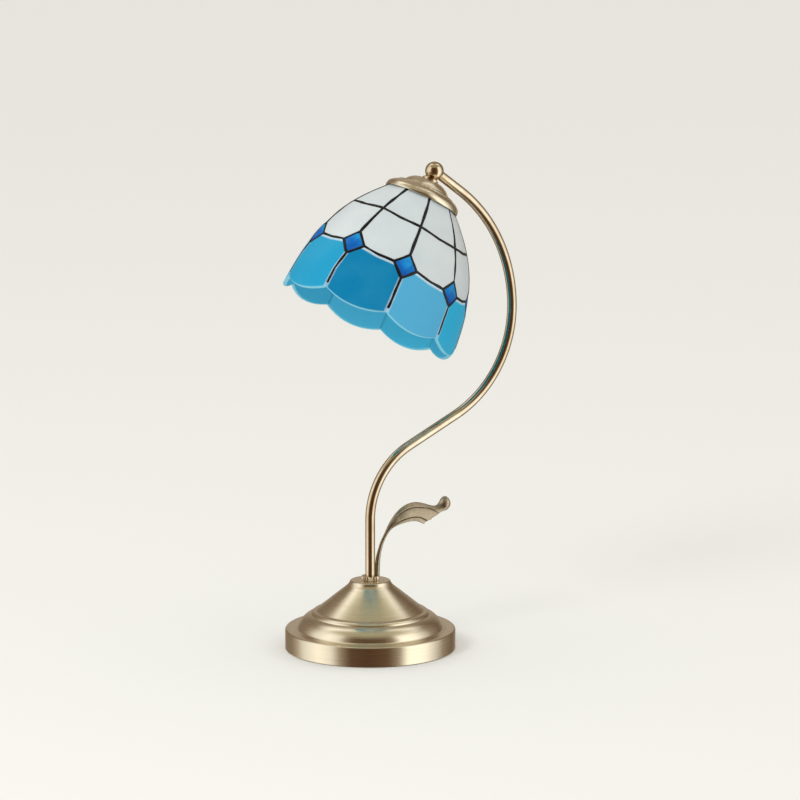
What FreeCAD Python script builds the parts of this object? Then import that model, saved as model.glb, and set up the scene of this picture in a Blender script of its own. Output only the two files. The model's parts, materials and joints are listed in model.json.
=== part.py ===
import FreeCAD, Part
import math
import os
import Sketcher

# Table lamp: a stepped spun base, a swan-neck tube, and a head that hangs from a drilled ball.
# Row frame: origin on the table under the middle of the base, +Z up.
# The arm lies in the XZ plane and bows towards +X; the head leans back towards -X.
# The head has a frame of its own: its origin is the ball's centre and its +Z runs down the
# shade's axis, from the ball to the shade's mouth.

Vector = FreeCAD.Vector

SIZES = {
    # base
    "base_radius": 70.0, "shell_wall": 1.2, "shell_lip": 0.6, "rim_height": 16.7, "rim_round": 1.6,
    "step_radius": 59.2, "shoulder_radius": 48.8, "shoulder_height": 28.9, "shoulder_curve": 11.5,
    "bead_radius": 47.6, "bead_foot": 0.6, "bead_height": 30.6, "bead_curve": 1.2,
    "cone_curve": 62.0, "disc_radius": 16.5, "disc_round": 1.2,
    "cone_height": 55.3, "disc_height": 56.6, "stem_radius": 5.0,
    "pad_radius": 67.0, "pad_height": 1.8, "plate_radius": 68.4, "plate_height": 3.0,
    "weight_radius": 67.5, "weight_bore": 5.3, "pit_radius": 14.0, "pit_height": 12.0,
    "washer_radius": 11.0, "washer_height": 1.2, "nut_height": 4.0, "nut_corner": 9.24,
    "stem_foot": 6.2, "channel_half": 6.0, "channel_height": 12.0,
    "inlet_height": 7.6, "inlet_bore": 3.2, "inlet_body": 4.0, "inlet_flange": 5.6,
    "inlet_inner": 63.5, "inlet_outer": 71.6,
    # arm
    "tube_radius": 4.0, "tube_bore": 3.2, "tube_foot": 30.0, "arm_rise": 106.4, "bend_low": 64.6,
    "arm_slope": 25.84, "arm_straight": 50.3, "bend_middle": 95.9, "bend_top": 121.9,
    "arm_heading": 54.08, "arm_last": 30.5, "tube_depth": 4.2,
    "collar_radius": 7.6, "collar_height": 60.4, "collar_step": 58.4,
    "leaf_stem": 3.2, "leaf_root": 5.65, "leaf_reach": 69.5, "leaf_rise": 54.5,
    "leaf_width": 17.0, "leaf_thick": 1.7, "leaf_lean": 30.0,
    "lead_radius": 0.85, "lead_offset": 1.0, "lead_level": 5.0, "lead_bend": 4.0,
    "lead_start": 38.0, "lead_gap": 6.0, "lead_turn": 2.5, "crimp_radius": 2.4, "crimp_nose": 1.7,
    "crimp_length": 9.0, "nose_length": 4.0, "crimp_offset": 2.6, "crimp_level": 5.4,
    # ball and head
    "ball_radius": 7.6, "head_turn": 208.43, "ball_gap": 0.05,
    "nipple_radius": 4.0, "nipple_bore": 2.9, "nipple_top": 4.8, "nipple_end": 20.0,
    "neck_radius": 6.8, "neck_top": 6.5, "cap_top": 9.0, "cap_wall": 0.8,
    "dome_radius": 19.6, "dome_depth": 16.2, "dome_curve": 15.0, "bead_ring": 23.8,
    "bead_depth": 17.6, "skirt_radius": 31.0, "skirt_depth": 22.4, "skirt_curve": 13.0,
    "cap_rim": 25.4, "lock_washer": 10.8, "lock_radius": 7.4, "cap_nut_end": 14.8,
    "cap_nut_corner": 7.5,
    # lampholder and bulb
    "holder_top": 15.2, "holder_dome": 17.4, "spigot_radius": 15.6, "spigot_end": 26.4,
    "flange_radius": 24.0, "flange_top": 20.8, "flange_end": 22.5, "thread_radius": 19.5,
    "thread_bore": 16.6, "thread_end": 52.0, "insert_end": 31.2, "screw_shell": 13.9,
    "screw_bore": 13.3, "screw_end": 50.0, "tongue_end": 32.8,
    "screw_offset": 9.0, "screw_head": 2.6, "terminal_level": 24.3,
    "tip_radius": 4.6, "tip_end": 34.0, "glaze_end": 37.0, "bulb_screw": 13.24,
    "bulb_skirt": 57.0, "globe_radius": 22.5, "globe_middle": 88.0, "bulb_wall": 1.0,
    # shade
    "land_top": 22.5, "land_end": 26.0, "land_bore": 20.2, "gasket_end": 27.6,
    "gasket_radius": 25.6, "ring_end": 34.0, "ring_radius": 26.4, "ring_bore": 19.56,
    "glass_wall": 3.2, "panels": 9, "rim_notch": 128.8, "rim_hang": 6.2, "panel_turn": -8.1,
    "bulge_top": 0.4, "bulge_rim": 0.75,
    "bell_1": 26.2, "bell_depth_1": 22.0, "bell_2": 42.6, "bell_depth_2": 39.5,
    "bell_3": 55.2, "bell_depth_3": 56.3, "bell_4": 65.4, "bell_depth_4": 77.1,
    "bell_5": 71.8, "bell_depth_5": 100.0, "bell_6": 75.6, "bell_depth_6": 136.0,
}


def arm_corners(sizes):
    """Where the arm's runs and arcs meet in its plane, from the top of its upright to the ball."""
    slope, heading = math.radians(sizes["arm_slope"]), math.radians(sizes["arm_heading"])
    low, middle, top = (sizes[word] for word in ("bend_low", "bend_middle", "bend_top"))
    uphill = Vector(math.cos(slope), math.sin(slope), 0)
    across = Vector(-math.sin(slope), math.cos(slope), 0)
    rise = Vector(0, sizes["arm_rise"], 0)
    bent = rise + Vector(low, 0, 0) + across * low
    run = bent + uphill * sizes["arm_straight"]
    crest = run + across * middle + Vector(middle, 0, 0)
    last = crest + Vector(math.cos(heading) - 1, math.sin(heading), 0) * top
    inward = Vector(-math.sin(heading), math.cos(heading), 0)
    return rise, bent, run, crest, last, inward


ball_corner, ball_way = arm_corners(SIZES)[-2:]
ball_centre = ball_corner + ball_way * SIZES["arm_last"]
SIZES["ball_x"], SIZES["ball_z"] = round(ball_centre.x, 4), round(ball_centre.y, 4)

document = FreeCAD.newDocument("table_lamp")
sheet = document.addObject("Spreadsheet::Sheet", "Sizes")
for line, (word, size) in enumerate(SIZES.items(), start=1):
    sheet.set("A%d" % line, str(size))
    sheet.setAlias("A%d" % line, word)
document.recompute()

nodes = []


def number(text):
    """What a sum such as "base_radius - shell_wall" comes to, in mm or degrees."""
    total, sign = 0.0, 1.0
    for word in text.split():
        if word in ("+", "-"):
            sign = 1.0 if word == "+" else -1.0
        else:
            total += sign * (SIZES[word] if word in SIZES else float(word))
    return total


def bound(text):
    """The same sum as an expression on the sheet's cells."""
    return " ".join("Sizes." + word if word in SIZES else word for word in text.split())


def bind(thing, **properties):
    """Bind properties to sums of sheet cells; an underscore in a property's name is a dot."""
    for name, text in properties.items():
        thing.setExpression(name.replace("_", "."), bound(text))


def keep(thing, label):
    """Name a finished sub-part and list it for export."""
    thing.Label = label
    nodes.append(thing)
    return thing


def in_head(thing):
    """Place a sub-part's own origin at the ball, with its Z down the shade's axis."""
    thing.Placement = FreeCAD.Placement(Vector(0, 0, 0), FreeCAD.Rotation(Vector(0, 1, 0), 10))
    bind(thing, Placement_Base_x="ball_x", Placement_Base_z="ball_z",
         Placement_Rotation_Angle="head_turn")
    return thing


# --- sketches -------------------------------------------------------------------------------

def origin_plane(body, role):
    return [item for item in body.Origin.OriginFeatures if item.Role == role][0]


def new_sketch(body, name, role="XZ_Plane"):
    sketch = body.newObject("Sketcher::SketchObject", name)
    sketch.AttachmentSupport = [(origin_plane(body, role), "")]
    sketch.MapMode = "FlatFace"
    return sketch


def measure(sketch, kind, text, *ends):
    """Add a dimension and bind it to the sheet."""
    index = sketch.addConstraint(Sketcher.Constraint(kind, *ends, number(text)))
    sketch.setExpression("Constraints[%d]" % index, bound(text))


def pin_down(sketch, geometry, end, across, up):
    """Fix one end of an edge at (across, up) from the sketch's origin."""
    for kind, text, axis in (("DistanceX", across, -2), ("DistanceY", up, -1)):
        if text == "0":
            sketch.addConstraint(Sketcher.Constraint("PointOnObject", geometry, end, axis))
        else:
            measure(sketch, kind, text, -1, 1, geometry, end)


def arc_between(start, end, radius, side):
    """Arc from start to end; side +1 has its centre on the left of the way, -1 on the right."""
    chord = end - start
    left = Vector(-chord.y, chord.x, 0).normalize()
    rise = math.sqrt(radius ** 2 - (chord.Length / 2) ** 2)
    centre = (start + end) * 0.5 + left * rise * side
    angles = [math.atan2(point.y - centre.y, point.x - centre.x) for point in (start, end)]
    if side < 0:
        angles.reverse()
    return Part.ArcOfCircle(Part.Circle(centre, Vector(0, 0, 1), radius), *angles)


def outline(body, name, corners, role="XZ_Plane", closed=True):
    """Outline: corners are (across, up), with (radius, side) added where an arc follows."""
    sketch = new_sketch(body, name, role)
    points = [Vector(number(corner[0]), number(corner[1]), 0) for corner in corners]
    edges = []
    for place, corner in enumerate(corners if closed else corners[:-1]):
        start, end = points[place], points[(place + 1) % len(points)]
        if len(corner) == 2:
            edges.append((sketch.addGeometry(Part.LineSegment(start, end)), 1, 2))
        else:
            arc = arc_between(start, end, number(corner[2]), corner[3])
            ends = (1, 2) if corner[3] > 0 else (2, 1)
            edges.append((sketch.addGeometry(arc), *ends))
    for place, (geometry, first, last) in enumerate(edges):
        if closed or place + 1 < len(edges):
            after, begin = edges[(place + 1) % len(edges)][:2]
            sketch.addConstraint(Sketcher.Constraint("Coincident", geometry, last, after, begin))
        else:
            pin_down(sketch, geometry, last, corners[-1][0], corners[-1][1])
        pin_down(sketch, geometry, first, corners[place][0], corners[place][1])
        if len(corners[place]) > 2:
            measure(sketch, "Radius", corners[place][2], geometry)
    return sketch


def turned(label, corners, head=False, body=None):
    """A sub-part turned about its own Z from a closed outline of (radius, height) corners."""
    body = body or document.addObject("PartDesign::Body", label + "_body")
    feature = body.newObject("PartDesign::Revolution", label + "_turning")
    feature.Profile = outline(body, label + "_outline", corners)
    feature.ReferenceAxis = (feature.Profile[0], ["V_Axis"])
    feature.Angle = 360
    if head:
        in_head(body)
    return keep(body, label)


def ring(label, inner, outer, low, high, head=False):
    """A plain washer, sleeve or collar."""
    return turned(label, [(inner, low), (outer, low), (outer, high), (inner, high)], head)


def pocket(body, label, sketch, length, reverse=False):
    """Cut a sketch out of a body and make sure that it did cut."""
    document.recompute()
    before = body.Shape.Volume
    feature = body.newObject("PartDesign::Pocket", label)
    feature.Profile = sketch
    feature.Reversed = reverse
    bind(feature, Length=length)
    document.recompute()
    if body.Shape.Volume > before - 1.0:
        raise RuntimeError(label + " cut nothing")


def circle_sketch(body, name, role, across, up, *radii):
    sketch = new_sketch(body, name, role)
    for radius in radii:
        centre = Vector(number(across), number(up), 0)
        geometry = sketch.addGeometry(Part.Circle(centre, Vector(0, 0, 1), number(radius)))
        pin_down(sketch, geometry, 3, across, up)
        measure(sketch, "Radius", radius, geometry)
    return sketch


def hex_nut(label, corner, bore, low, height, head=False):
    """Hexagon nut with a plain bore, standing from low over its height."""
    blank = document.addObject("Part::Prism", label + "_blank")
    blank.Polygon = 6
    bind(blank, Circumradius=corner, Height=height)
    hole = document.addObject("Part::Cylinder", label + "_bore")
    bind(hole, Radius=bore, Height=height)
    for item in (blank, hole):
        bind(item, Placement_Base_z=low)
    nut = document.addObject("Part::Cut", label + "_cut")
    nut.Base, nut.Tool = blank, hole
    if head:
        in_head(nut)
    return keep(nut, label)


# --- base -----------------------------------------------------------------------------------

def base_shell():
    """Spun steel shell: straight rim, ledge, quarter-round shoulder, bead and hollow cone."""
    wall = " - shell_wall"
    shell = turned("base_shell", [
        ("base_radius" + wall, "shell_lip"),
        ("base_radius", "shell_lip"),
        ("base_radius", "rim_height - rim_round", "rim_round", 1),
        ("base_radius - rim_round", "rim_height"),
        ("step_radius", "rim_height", "shoulder_curve", 1),
        ("shoulder_radius", "shoulder_height"),
        ("bead_radius + bead_foot", "shoulder_height"),
        ("bead_radius + bead_foot", "shoulder_height + bead_foot", "bead_curve", 1),
        ("bead_radius", "bead_height", "cone_curve", -1),
        ("disc_radius", "cone_height"),
        ("disc_radius - disc_round", "disc_height"),
        ("stem_radius", "disc_height"),
        ("stem_radius", "disc_height" + wall),
        ("disc_radius - disc_round" + wall, "disc_height" + wall),
        ("disc_radius - disc_round" + wall, "cone_height" + wall, "cone_curve", 1),
        ("bead_radius" + wall, "bead_height" + wall),
        ("shoulder_radius" + wall, "shoulder_height" + wall, "shoulder_curve", -1),
        ("step_radius" + wall, "rim_height" + wall),
        ("base_radius" + wall, "rim_height" + wall)])
    hole = circle_sketch(shell, "inlet_hole_sketch", "YZ_Plane", "0", "inlet_height", "inlet_body")
    bind(hole, AttachmentOffset_Base_z="inlet_inner")
    pocket(shell, "inlet_hole", hole, "inlet_outer - inlet_inner", True)


def base_weight():
    """Cast iron ballast with a pit for the clamping nut and a channel to the cord inlet."""
    weight = turned("base_weight", [
        ("pit_radius", "plate_height"), ("weight_radius", "plate_height"),
        ("weight_radius", "rim_height - shell_wall"), ("weight_bore", "rim_height - shell_wall"),
        ("weight_bore", "pit_height"), ("pit_radius", "pit_height")])
    channel = outline(weight, "channel_sketch", [
        ("0 - channel_half", "plate_height - 1"), ("channel_half", "plate_height - 1"),
        ("channel_half", "channel_height"), ("0 - channel_half", "channel_height")], "YZ_Plane")
    pocket(weight, "channel", channel, "base_radius", True)


def inlet_bushing():
    """Moulded bushing in the rim's rear hole; its bore takes a round mains lead."""
    bushing = document.addObject("PartDesign::Body", "bushing_body")
    for name, radius, start, end in (("barrel", "inlet_body", "inlet_inner", "base_radius"),
                                     ("flange", "inlet_flange", "base_radius", "inlet_outer")):
        sketch = circle_sketch(bushing, name + "_sketch", "YZ_Plane", "0", "inlet_height",
                               radius, "inlet_bore")
        bind(sketch, AttachmentOffset_Base_z=start)
        pad = bushing.newObject("PartDesign::Pad", name)
        pad.Profile = sketch
        bind(pad, Length=end + " - " + start)
    keep(bushing, "cord_inlet_bushing")


base_shell()
base_weight()
inlet_bushing()
turned("base_pad", [("0", "0"), ("pad_radius", "0"), ("pad_radius", "pad_height"),
                    ("0", "pad_height")])
turned("base_plate", [("0", "pad_height"), ("plate_radius", "pad_height"),
                      ("plate_radius", "plate_height"), ("0", "plate_height")])
ring("weight_washer", "stem_radius", "washer_radius", "pit_height - washer_height", "pit_height")
hex_nut("weight_nut", "nut_corner", "stem_radius",
        "pit_height - washer_height - nut_height", "nut_height")
ring("threaded_stem", "tube_radius", "stem_radius", "stem_foot", "collar_step")
turned("foot_collar", [
    ("stem_radius", "disc_height"), ("collar_radius", "disc_height"),
    ("collar_radius", "collar_height - 0.7"), ("collar_radius - 0.7", "collar_height"),
    ("tube_radius", "collar_height"), ("tube_radius", "collar_step"),
    ("stem_radius", "collar_step")])


# --- arm ------------------------------------------------------------------------------------

def arm_line(body, name, lead=False):
    """Sketch of the arm's centre line; a lead's line starts along the base's channel."""
    spine = new_sketch(body, name)
    bend, level = SIZES["lead_bend"], SIZES["lead_level"]
    rise, bent, run, crest, last, inward = arm_corners(SIZES)
    foot = Vector(0, level + bend if lead else SIZES["tube_foot"], 0)
    length = "arm_last - tube_depth" + (" - lead_gap" if lead else "")
    end = last + inward * number(length)
    low, middle, top = (SIZES[word] for word in ("bend_low", "bend_middle", "bend_top"))
    edges = [(Part.LineSegment(foot, rise), 1, 2), (arc_between(rise, bent, low, -1), 2, 1),
             (Part.LineSegment(bent, run), 1, 2), (arc_between(run, crest, middle, 1), 1, 2),
             (arc_between(crest, last, top, 1), 1, 2), (Part.LineSegment(last, end), 1, 2)]
    if lead:
        turn = Vector(bend, level, 0)
        edges = [(Part.LineSegment(Vector(SIZES["lead_start"], level, 0), turn), 1, 2),
                 (arc_between(turn, foot, bend, -1), 2, 1)] + edges
    for edge in edges:
        spine.addGeometry(edge[0])
    for place, (edge, follower) in enumerate(zip(edges, edges[1:])):
        spine.addConstraint(Sketcher.Constraint("Tangent", place, edge[2], place + 1, follower[1]))
    upright = 2 if lead else 0
    spine.addConstraint(Sketcher.Constraint("Vertical", upright))
    if lead:
        pin_down(spine, 0, 1, "lead_start", "lead_level")
        measure(spine, "Radius", "lead_bend", 1)
        spine.addConstraint(Sketcher.Constraint("PointOnObject", upright, 2, -2))
    else:
        pin_down(spine, 0, 1, "0", "tube_foot")
    measure(spine, "DistanceY", "arm_rise", -1, 1, upright, 2)
    for place, radius in ((1, "bend_low"), (3, "bend_middle"), (4, "bend_top")):
        measure(spine, "Radius", radius, upright + place)
    measure(spine, "Distance", "arm_straight", upright + 2)
    measure(spine, "Distance", length, upright + 5)
    spine.addConstraint(Sketcher.Constraint("Horizontal", upright + 3, 3, upright + 3, 2))
    for word, quarter, place in (("arm_slope", 0, 2), ("arm_heading", 90, 5)):
        angle = math.radians(SIZES[word] + quarter)
        index = spine.addConstraint(Sketcher.Constraint("Angle", upright + place, angle))
        spine.setExpression("Constraints[%d]" % index,
                            "(%d + Sizes.%s) * 1 deg" % (quarter, word))
    return spine


def piped(body, section, spine, label):
    """Sweep a section along a line and keep the body under its label."""
    pipe = body.newObject("PartDesign::AdditivePipe", label + "_sweep")
    pipe.Profile = section
    pipe.Spine = (spine, [])
    return keep(body, label)


def arm_tube():
    """Swan-neck tube, 8 mm outside: upright, sloping run, long bow and a straight to the ball."""
    body = document.addObject("PartDesign::Body", "arm_body")
    section = circle_sketch(body, "tube_section", "XY_Plane", "0", "0", "tube_radius", "tube_bore")
    bind(section, AttachmentOffset_Base_z="tube_foot")
    piped(body, section, arm_line(body, "tube_line"), "arm_tube")


def arm_lead(label, offset):
    """Insulated lead from the splice in the base, up the stem and the tube to the ball."""
    body = document.addObject("PartDesign::Body", label + "_body")
    spine = arm_line(body, label + "_line", True)
    bind(spine, AttachmentOffset_Base_z="0 - " + offset if offset[0] != "0" else offset[4:])
    section = circle_sketch(body, label + "_section", "YZ_Plane", offset, "lead_level",
                            "lead_radius")
    bind(section, AttachmentOffset_Base_z="lead_start")
    piped(body, section, spine, label)


def head_lead(label, side):
    """The lead's end in the head: down the nipple and out to its terminal screw."""
    body = document.addObject("PartDesign::Body", label + "_body")
    outward, inward = (" - ", " + ") if side else (" + ", " - ")
    spine = outline(body, label + "_line", [
        (side + "lead_offset", "nipple_top + 1"),
        (side + "lead_offset", "terminal_level - lead_turn", "lead_turn", 1 if side else -1),
        (side + "lead_offset" + outward + "lead_turn", "terminal_level"),
        (side + "screw_offset" + inward + "screw_head", "terminal_level")],
        closed=False)
    section = circle_sketch(body, label + "_section", "XY_Plane", side + "lead_offset", "0",
                            "lead_radius")
    bind(section, AttachmentOffset_Base_z="nipple_top + 1")
    in_head(body)
    piped(body, section, spine, label)


def lead_splices():
    """Two closed-end crimps in the channel, where the supply's cores meet the lamp's leads."""
    caps = []
    for name, side in (("live_crimp", "0 - "), ("neutral_crimp", "")):
        for piece, radius, start, length in (("barrel", "crimp_radius", "lead_start", "crimp_length"),
                                             ("nose", "crimp_nose", "lead_start + crimp_length",
                                              "nose_length")):
            cap = document.addObject("Part::Cylinder", name + "_" + piece)
            bind(cap, Radius=radius, Height=length)
            cap.Placement = FreeCAD.Placement(Vector(0, 0, 0),
                                              FreeCAD.Rotation(Vector(0, 1, 0), 90))
            bind(cap, Placement_Base_x=start, Placement_Base_y=side + "crimp_offset",
                 Placement_Base_z="crimp_level")
            caps.append(cap)
    group = document.addObject("Part::MultiFuse", "crimp_pair")
    group.Shapes = caps
    keep(group, "lead_splices")


arm_tube()
arm_lead("live_lead", "0 - lead_offset")
arm_lead("neutral_lead", "lead_offset")
head_lead("head_live_lead", "0 - ")
head_lead("head_neutral_lead", "")
lead_splices()


def leaf():
    """Cast leaf: a round stem beside the tube that widens into an arched blade, its tip curled."""
    stem, thick, broad = SIZES["leaf_stem"], SIZES["leaf_thick"], SIZES["leaf_width"]
    reach, rise, low = SIZES["leaf_reach"], SIZES["leaf_rise"], SIZES["collar_height"]
    # shares of the reach, of the rise and of the blade's width, along the middle of the leaf
    stations = [(0.00, 0.00, 0), (0.005, 0.10, 0), (0.02, 0.22, 0), (0.055, 0.38, 0),
                (0.12, 0.55, 0.22), (0.20, 0.70, 0.46), (0.32, 0.81, 0.82), (0.46, 0.86, 1.0),
                (0.61, 0.865, 1.0), (0.75, 0.85, 0.74), (0.855, 0.87, 0.46), (0.94, 0.94, 0.30),
                (0.98, 1.0, 0.26), (1.0, 1.05, 0.12)]
    points = [Vector(SIZES["leaf_root"] + across * reach, 0, low + up * rise)
              for across, up, share in stations]
    lean = math.radians(SIZES["leaf_lean"])
    sections = []
    for place, (across, up, share) in enumerate(stations):
        ahead = points[min(place + 1, len(points) - 1)] - points[max(place - 1, 0)]
        if place == 0:
            ahead = Vector(0, 0, 1)
        ahead.normalize()
        upright = ahead.cross(Vector(0, 1, 0))
        blend = min(1.0, place / 5.0)
        wide = upright * math.cos(lean * blend) + Vector(0, 1, 0) * math.sin(lean * blend)
        width = max(share * broad, stem * (1 - 0.5 * (place > 11)))
        depth = stem + (thick - stem) * blend
        oval = Part.Ellipse(Vector(0, 0, 0), width / 2 + 0.01, min(width, depth) / 2)
        edge = oval.toShape()
        edge.Placement = FreeCAD.Placement(
            points[place], FreeCAD.Rotation(wide, ahead.cross(wide), ahead, "XZY"))
        sections.append(Part.Wire([edge]))
    blade = document.addObject("Part::Feature", "leaf_casting")
    blade.Shape = Part.makeLoft(sections, True)
    keep(blade, "leaf")


leaf()


# --- ball and head fittings -----------------------------------------------------------------

def arm_ball():
    """Brass ball drilled twice: for the tube's end and, at the head's angle, for the nipple."""
    ball = document.addObject("Part::Sphere", "ball_blank")
    bind(ball, Radius="ball_radius", Placement_Base_x="ball_x", Placement_Base_z="ball_z")
    drills = []
    for name, radius in (("tube_drill", "tube_radius + ball_gap"),
                         ("nipple_drill", "nipple_radius + ball_gap")):
        drill = document.addObject("Part::Cylinder", name)
        bind(drill, Radius=radius, Height="ball_radius + ball_radius")
        drills.append(drill)
    in_head(drills[1])
    drills[0].Placement = FreeCAD.Placement(Vector(0, 0, 0),
                                            FreeCAD.Rotation(Vector(0, 1, 0), 10))
    bind(drills[0], Placement_Base_x="ball_x", Placement_Base_z="ball_z")
    drills[0].setExpression("Placement.Rotation.Angle", "180 - Sizes.arm_heading")
    bored = document.addObject("Part::Cut", "ball_bored")
    bored.Base, bored.Tool = ball, drills[0]
    tapped = document.addObject("Part::Cut", "ball_tapped")
    tapped.Base, tapped.Tool = bored, drills[1]
    keep(tapped, "arm_ball")


arm_ball()
ring("head_nipple", "nipple_bore", "nipple_radius", "nipple_top", "nipple_end", True)
turned("ball_neck", [
    ("nipple_radius", "neck_top"), ("neck_radius - 1.4", "neck_top"),
    ("neck_radius", "neck_top + 1.2"), ("neck_radius", "cap_top"), ("nipple_radius", "cap_top")],
    True)
turned("holder_cap", [
    ("nipple_radius", "cap_top"), ("neck_radius + 1", "cap_top", "dome_curve", 1),
    ("dome_radius", "dome_depth"), ("dome_radius + 1", "dome_depth"),
    ("bead_ring", "bead_depth - 0.6"), ("bead_ring + 0.6", "bead_depth + 0.4", "skirt_curve", 1),
    ("skirt_radius", "skirt_depth"), ("skirt_radius", "cap_rim"),
    ("skirt_radius - cap_wall", "cap_rim"), ("skirt_radius - cap_wall", "skirt_depth + 0.3"),
    ("bead_ring", "bead_depth + 1.1"), ("dome_radius - cap_wall", "dome_depth + 1"),
    ("neck_radius + 1", "cap_top + cap_wall"), ("nipple_radius", "cap_top + cap_wall")], True)
ring("cap_lock_washer", "nipple_radius", "lock_radius", "cap_top + cap_wall", "lock_washer", True)
hex_nut("cap_nut", "cap_nut_corner", "nipple_radius", "lock_washer",
        "cap_nut_end - lock_washer", True)


# --- lampholder -----------------------------------------------------------------------------

turned("holder_dome", [
    ("nipple_radius", "holder_top"), ("nipple_radius + 5", "holder_top", "12.0", 1),
    ("holder_dome", "flange_top"), ("spigot_radius", "flange_top"),
    ("spigot_radius", "spigot_end"), ("spigot_radius - 1.8", "spigot_end"),
    ("spigot_radius - 1.8", "flange_top - 1.5"), ("nipple_radius + 3", "holder_top + 2"),
    ("nipple_radius", "holder_top + 2")], True)
turned("holder_skirt", [
    ("spigot_radius", "flange_top"), ("flange_radius", "flange_top"),
    ("flange_radius", "flange_end"), ("thread_radius", "flange_end"),
    ("thread_radius", "thread_end"), ("thread_bore", "thread_end"),
    ("thread_bore", "spigot_end"), ("spigot_radius", "spigot_end")], True)
ring("socket_insert", "2.2", "thread_bore", "spigot_end", "insert_end", True)
ring("screw_shell", "screw_bore", "screw_shell", "insert_end", "screw_end", True)


def centre_contact():
    """Springy contact tongue: a foot on the insert and a raised end under the lamp's tip."""
    tongue = document.addObject("PartDesign::Body", "tongue_body")
    pad = tongue.newObject("PartDesign::Pad", "tongue_strip")
    pad.Profile = outline(tongue, "tongue_outline", [
        ("0 - screw_bore + 3", "insert_end"), ("0 - screw_bore + 8", "insert_end"),
        ("3.5", "tongue_end - 0.4"), ("3.5", "tongue_end"),
        ("0 - screw_bore + 7.6", "insert_end + 0.5"),
        ("0 - screw_bore + 3", "insert_end + 0.5")])
    pad.Midplane = True
    pad.Length = 5.0
    in_head(tongue)
    keep(tongue, "centre_contact")


def terminal_screws():
    """Two cheese-head screws, standing on the insert inside the dome."""
    screws = []
    for name, side in (("live_screw", "0 - "), ("neutral_screw", "")):
        for piece, radius, start, height in (("head", "screw_head", "spigot_end - 3.2", "2.0"),
                                             ("shank", "1.4", "spigot_end - 1.2", "1.2")):
            part = document.addObject("Part::Cylinder", name + "_" + piece)
            bind(part, Radius=radius, Height=height, Placement_Base_x=side + "screw_offset",
                 Placement_Base_z=start)
            screws.append(part)
    group = document.addObject("Part::MultiFuse", "terminal_screw_pair")
    group.Shapes = screws
    in_head(group)
    keep(group, "terminal_screws")


centre_contact()
terminal_screws()


# --- lamp -----------------------------------------------------------------------------------

turned("bulb_contact", [("0", "tongue_end + 0.1"), ("tip_radius", "tongue_end + 0.1"),
                        ("tip_radius", "tip_end"), ("0", "tip_end")], True)
turned("bulb_insulator", [
    ("0", "tip_end"), ("tip_radius + 1", "tip_end"), ("bulb_screw - 1", "glaze_end"),
    ("0", "glaze_end")], True)
turned("bulb_screw_cap", [
    ("bulb_screw - 1", "glaze_end"), ("bulb_screw", "glaze_end + 1"),
    ("bulb_screw", "bulb_skirt"), ("bulb_screw - 0.4", "bulb_skirt"),
    ("bulb_screw - 0.4", "glaze_end + 1"), ("bulb_screw - 1.4", "glaze_end")], True)


def bulb_globe():
    """Blown opal envelope: a neck inside the screw cap that opens into a ball."""
    middle, radius, wall = SIZES["globe_middle"], SIZES["globe_radius"], SIZES["bulb_wall"]
    neck = SIZES["bulb_screw"] - 0.5
    start, join = SIZES["bulb_skirt"] - 6, SIZES["bulb_skirt"] + 3

    def half(inset):
        meet = radius * math.cos(math.radians(52))
        centre = Vector(0, 0, middle)
        touch = Vector(math.sin(math.radians(52)) * (radius - inset), 0, middle - meet)
        return [Part.LineSegment(Vector(neck - inset, 0, start),
                                 Vector(neck - inset, 0, join)).toShape(),
                Part.LineSegment(Vector(neck - inset, 0, join), touch).toShape(),
                Part.Arc(touch, centre + Vector(radius - inset, 0, 0),
                         centre + Vector(0, 0, radius - inset)).toShape()]

    outer, inner = half(0.0), half(wall)
    lip = Part.LineSegment(inner[0].Vertexes[0].Point, outer[0].Vertexes[0].Point).toShape()
    crown = Part.LineSegment(inner[2].Vertexes[-1].Point, outer[2].Vertexes[-1].Point).toShape()
    section = Part.Face(Part.Wire(Part.__sortEdges__([lip, crown] + outer + inner)))
    envelope = document.addObject("Part::Feature", "bulb_envelope")
    envelope.Shape = section.revolve(Vector(0, 0, 0), Vector(0, 0, 1), 360)
    in_head(envelope)
    keep(envelope, "bulb_globe")


bulb_globe()


# --- shade ----------------------------------------------------------------------------------

ring("shade_gasket", "land_bore", "gasket_radius", "land_end", "gasket_end", True)
turned("shade_ring", [
    ("ring_bore", "gasket_end"), ("ring_radius", "gasket_end"),
    ("ring_radius", "gasket_end + 2"), ("ring_radius - 2.4", "gasket_end + 2"),
    ("ring_radius - 2.4", "ring_end"), ("ring_bore", "ring_end")], True)


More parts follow.
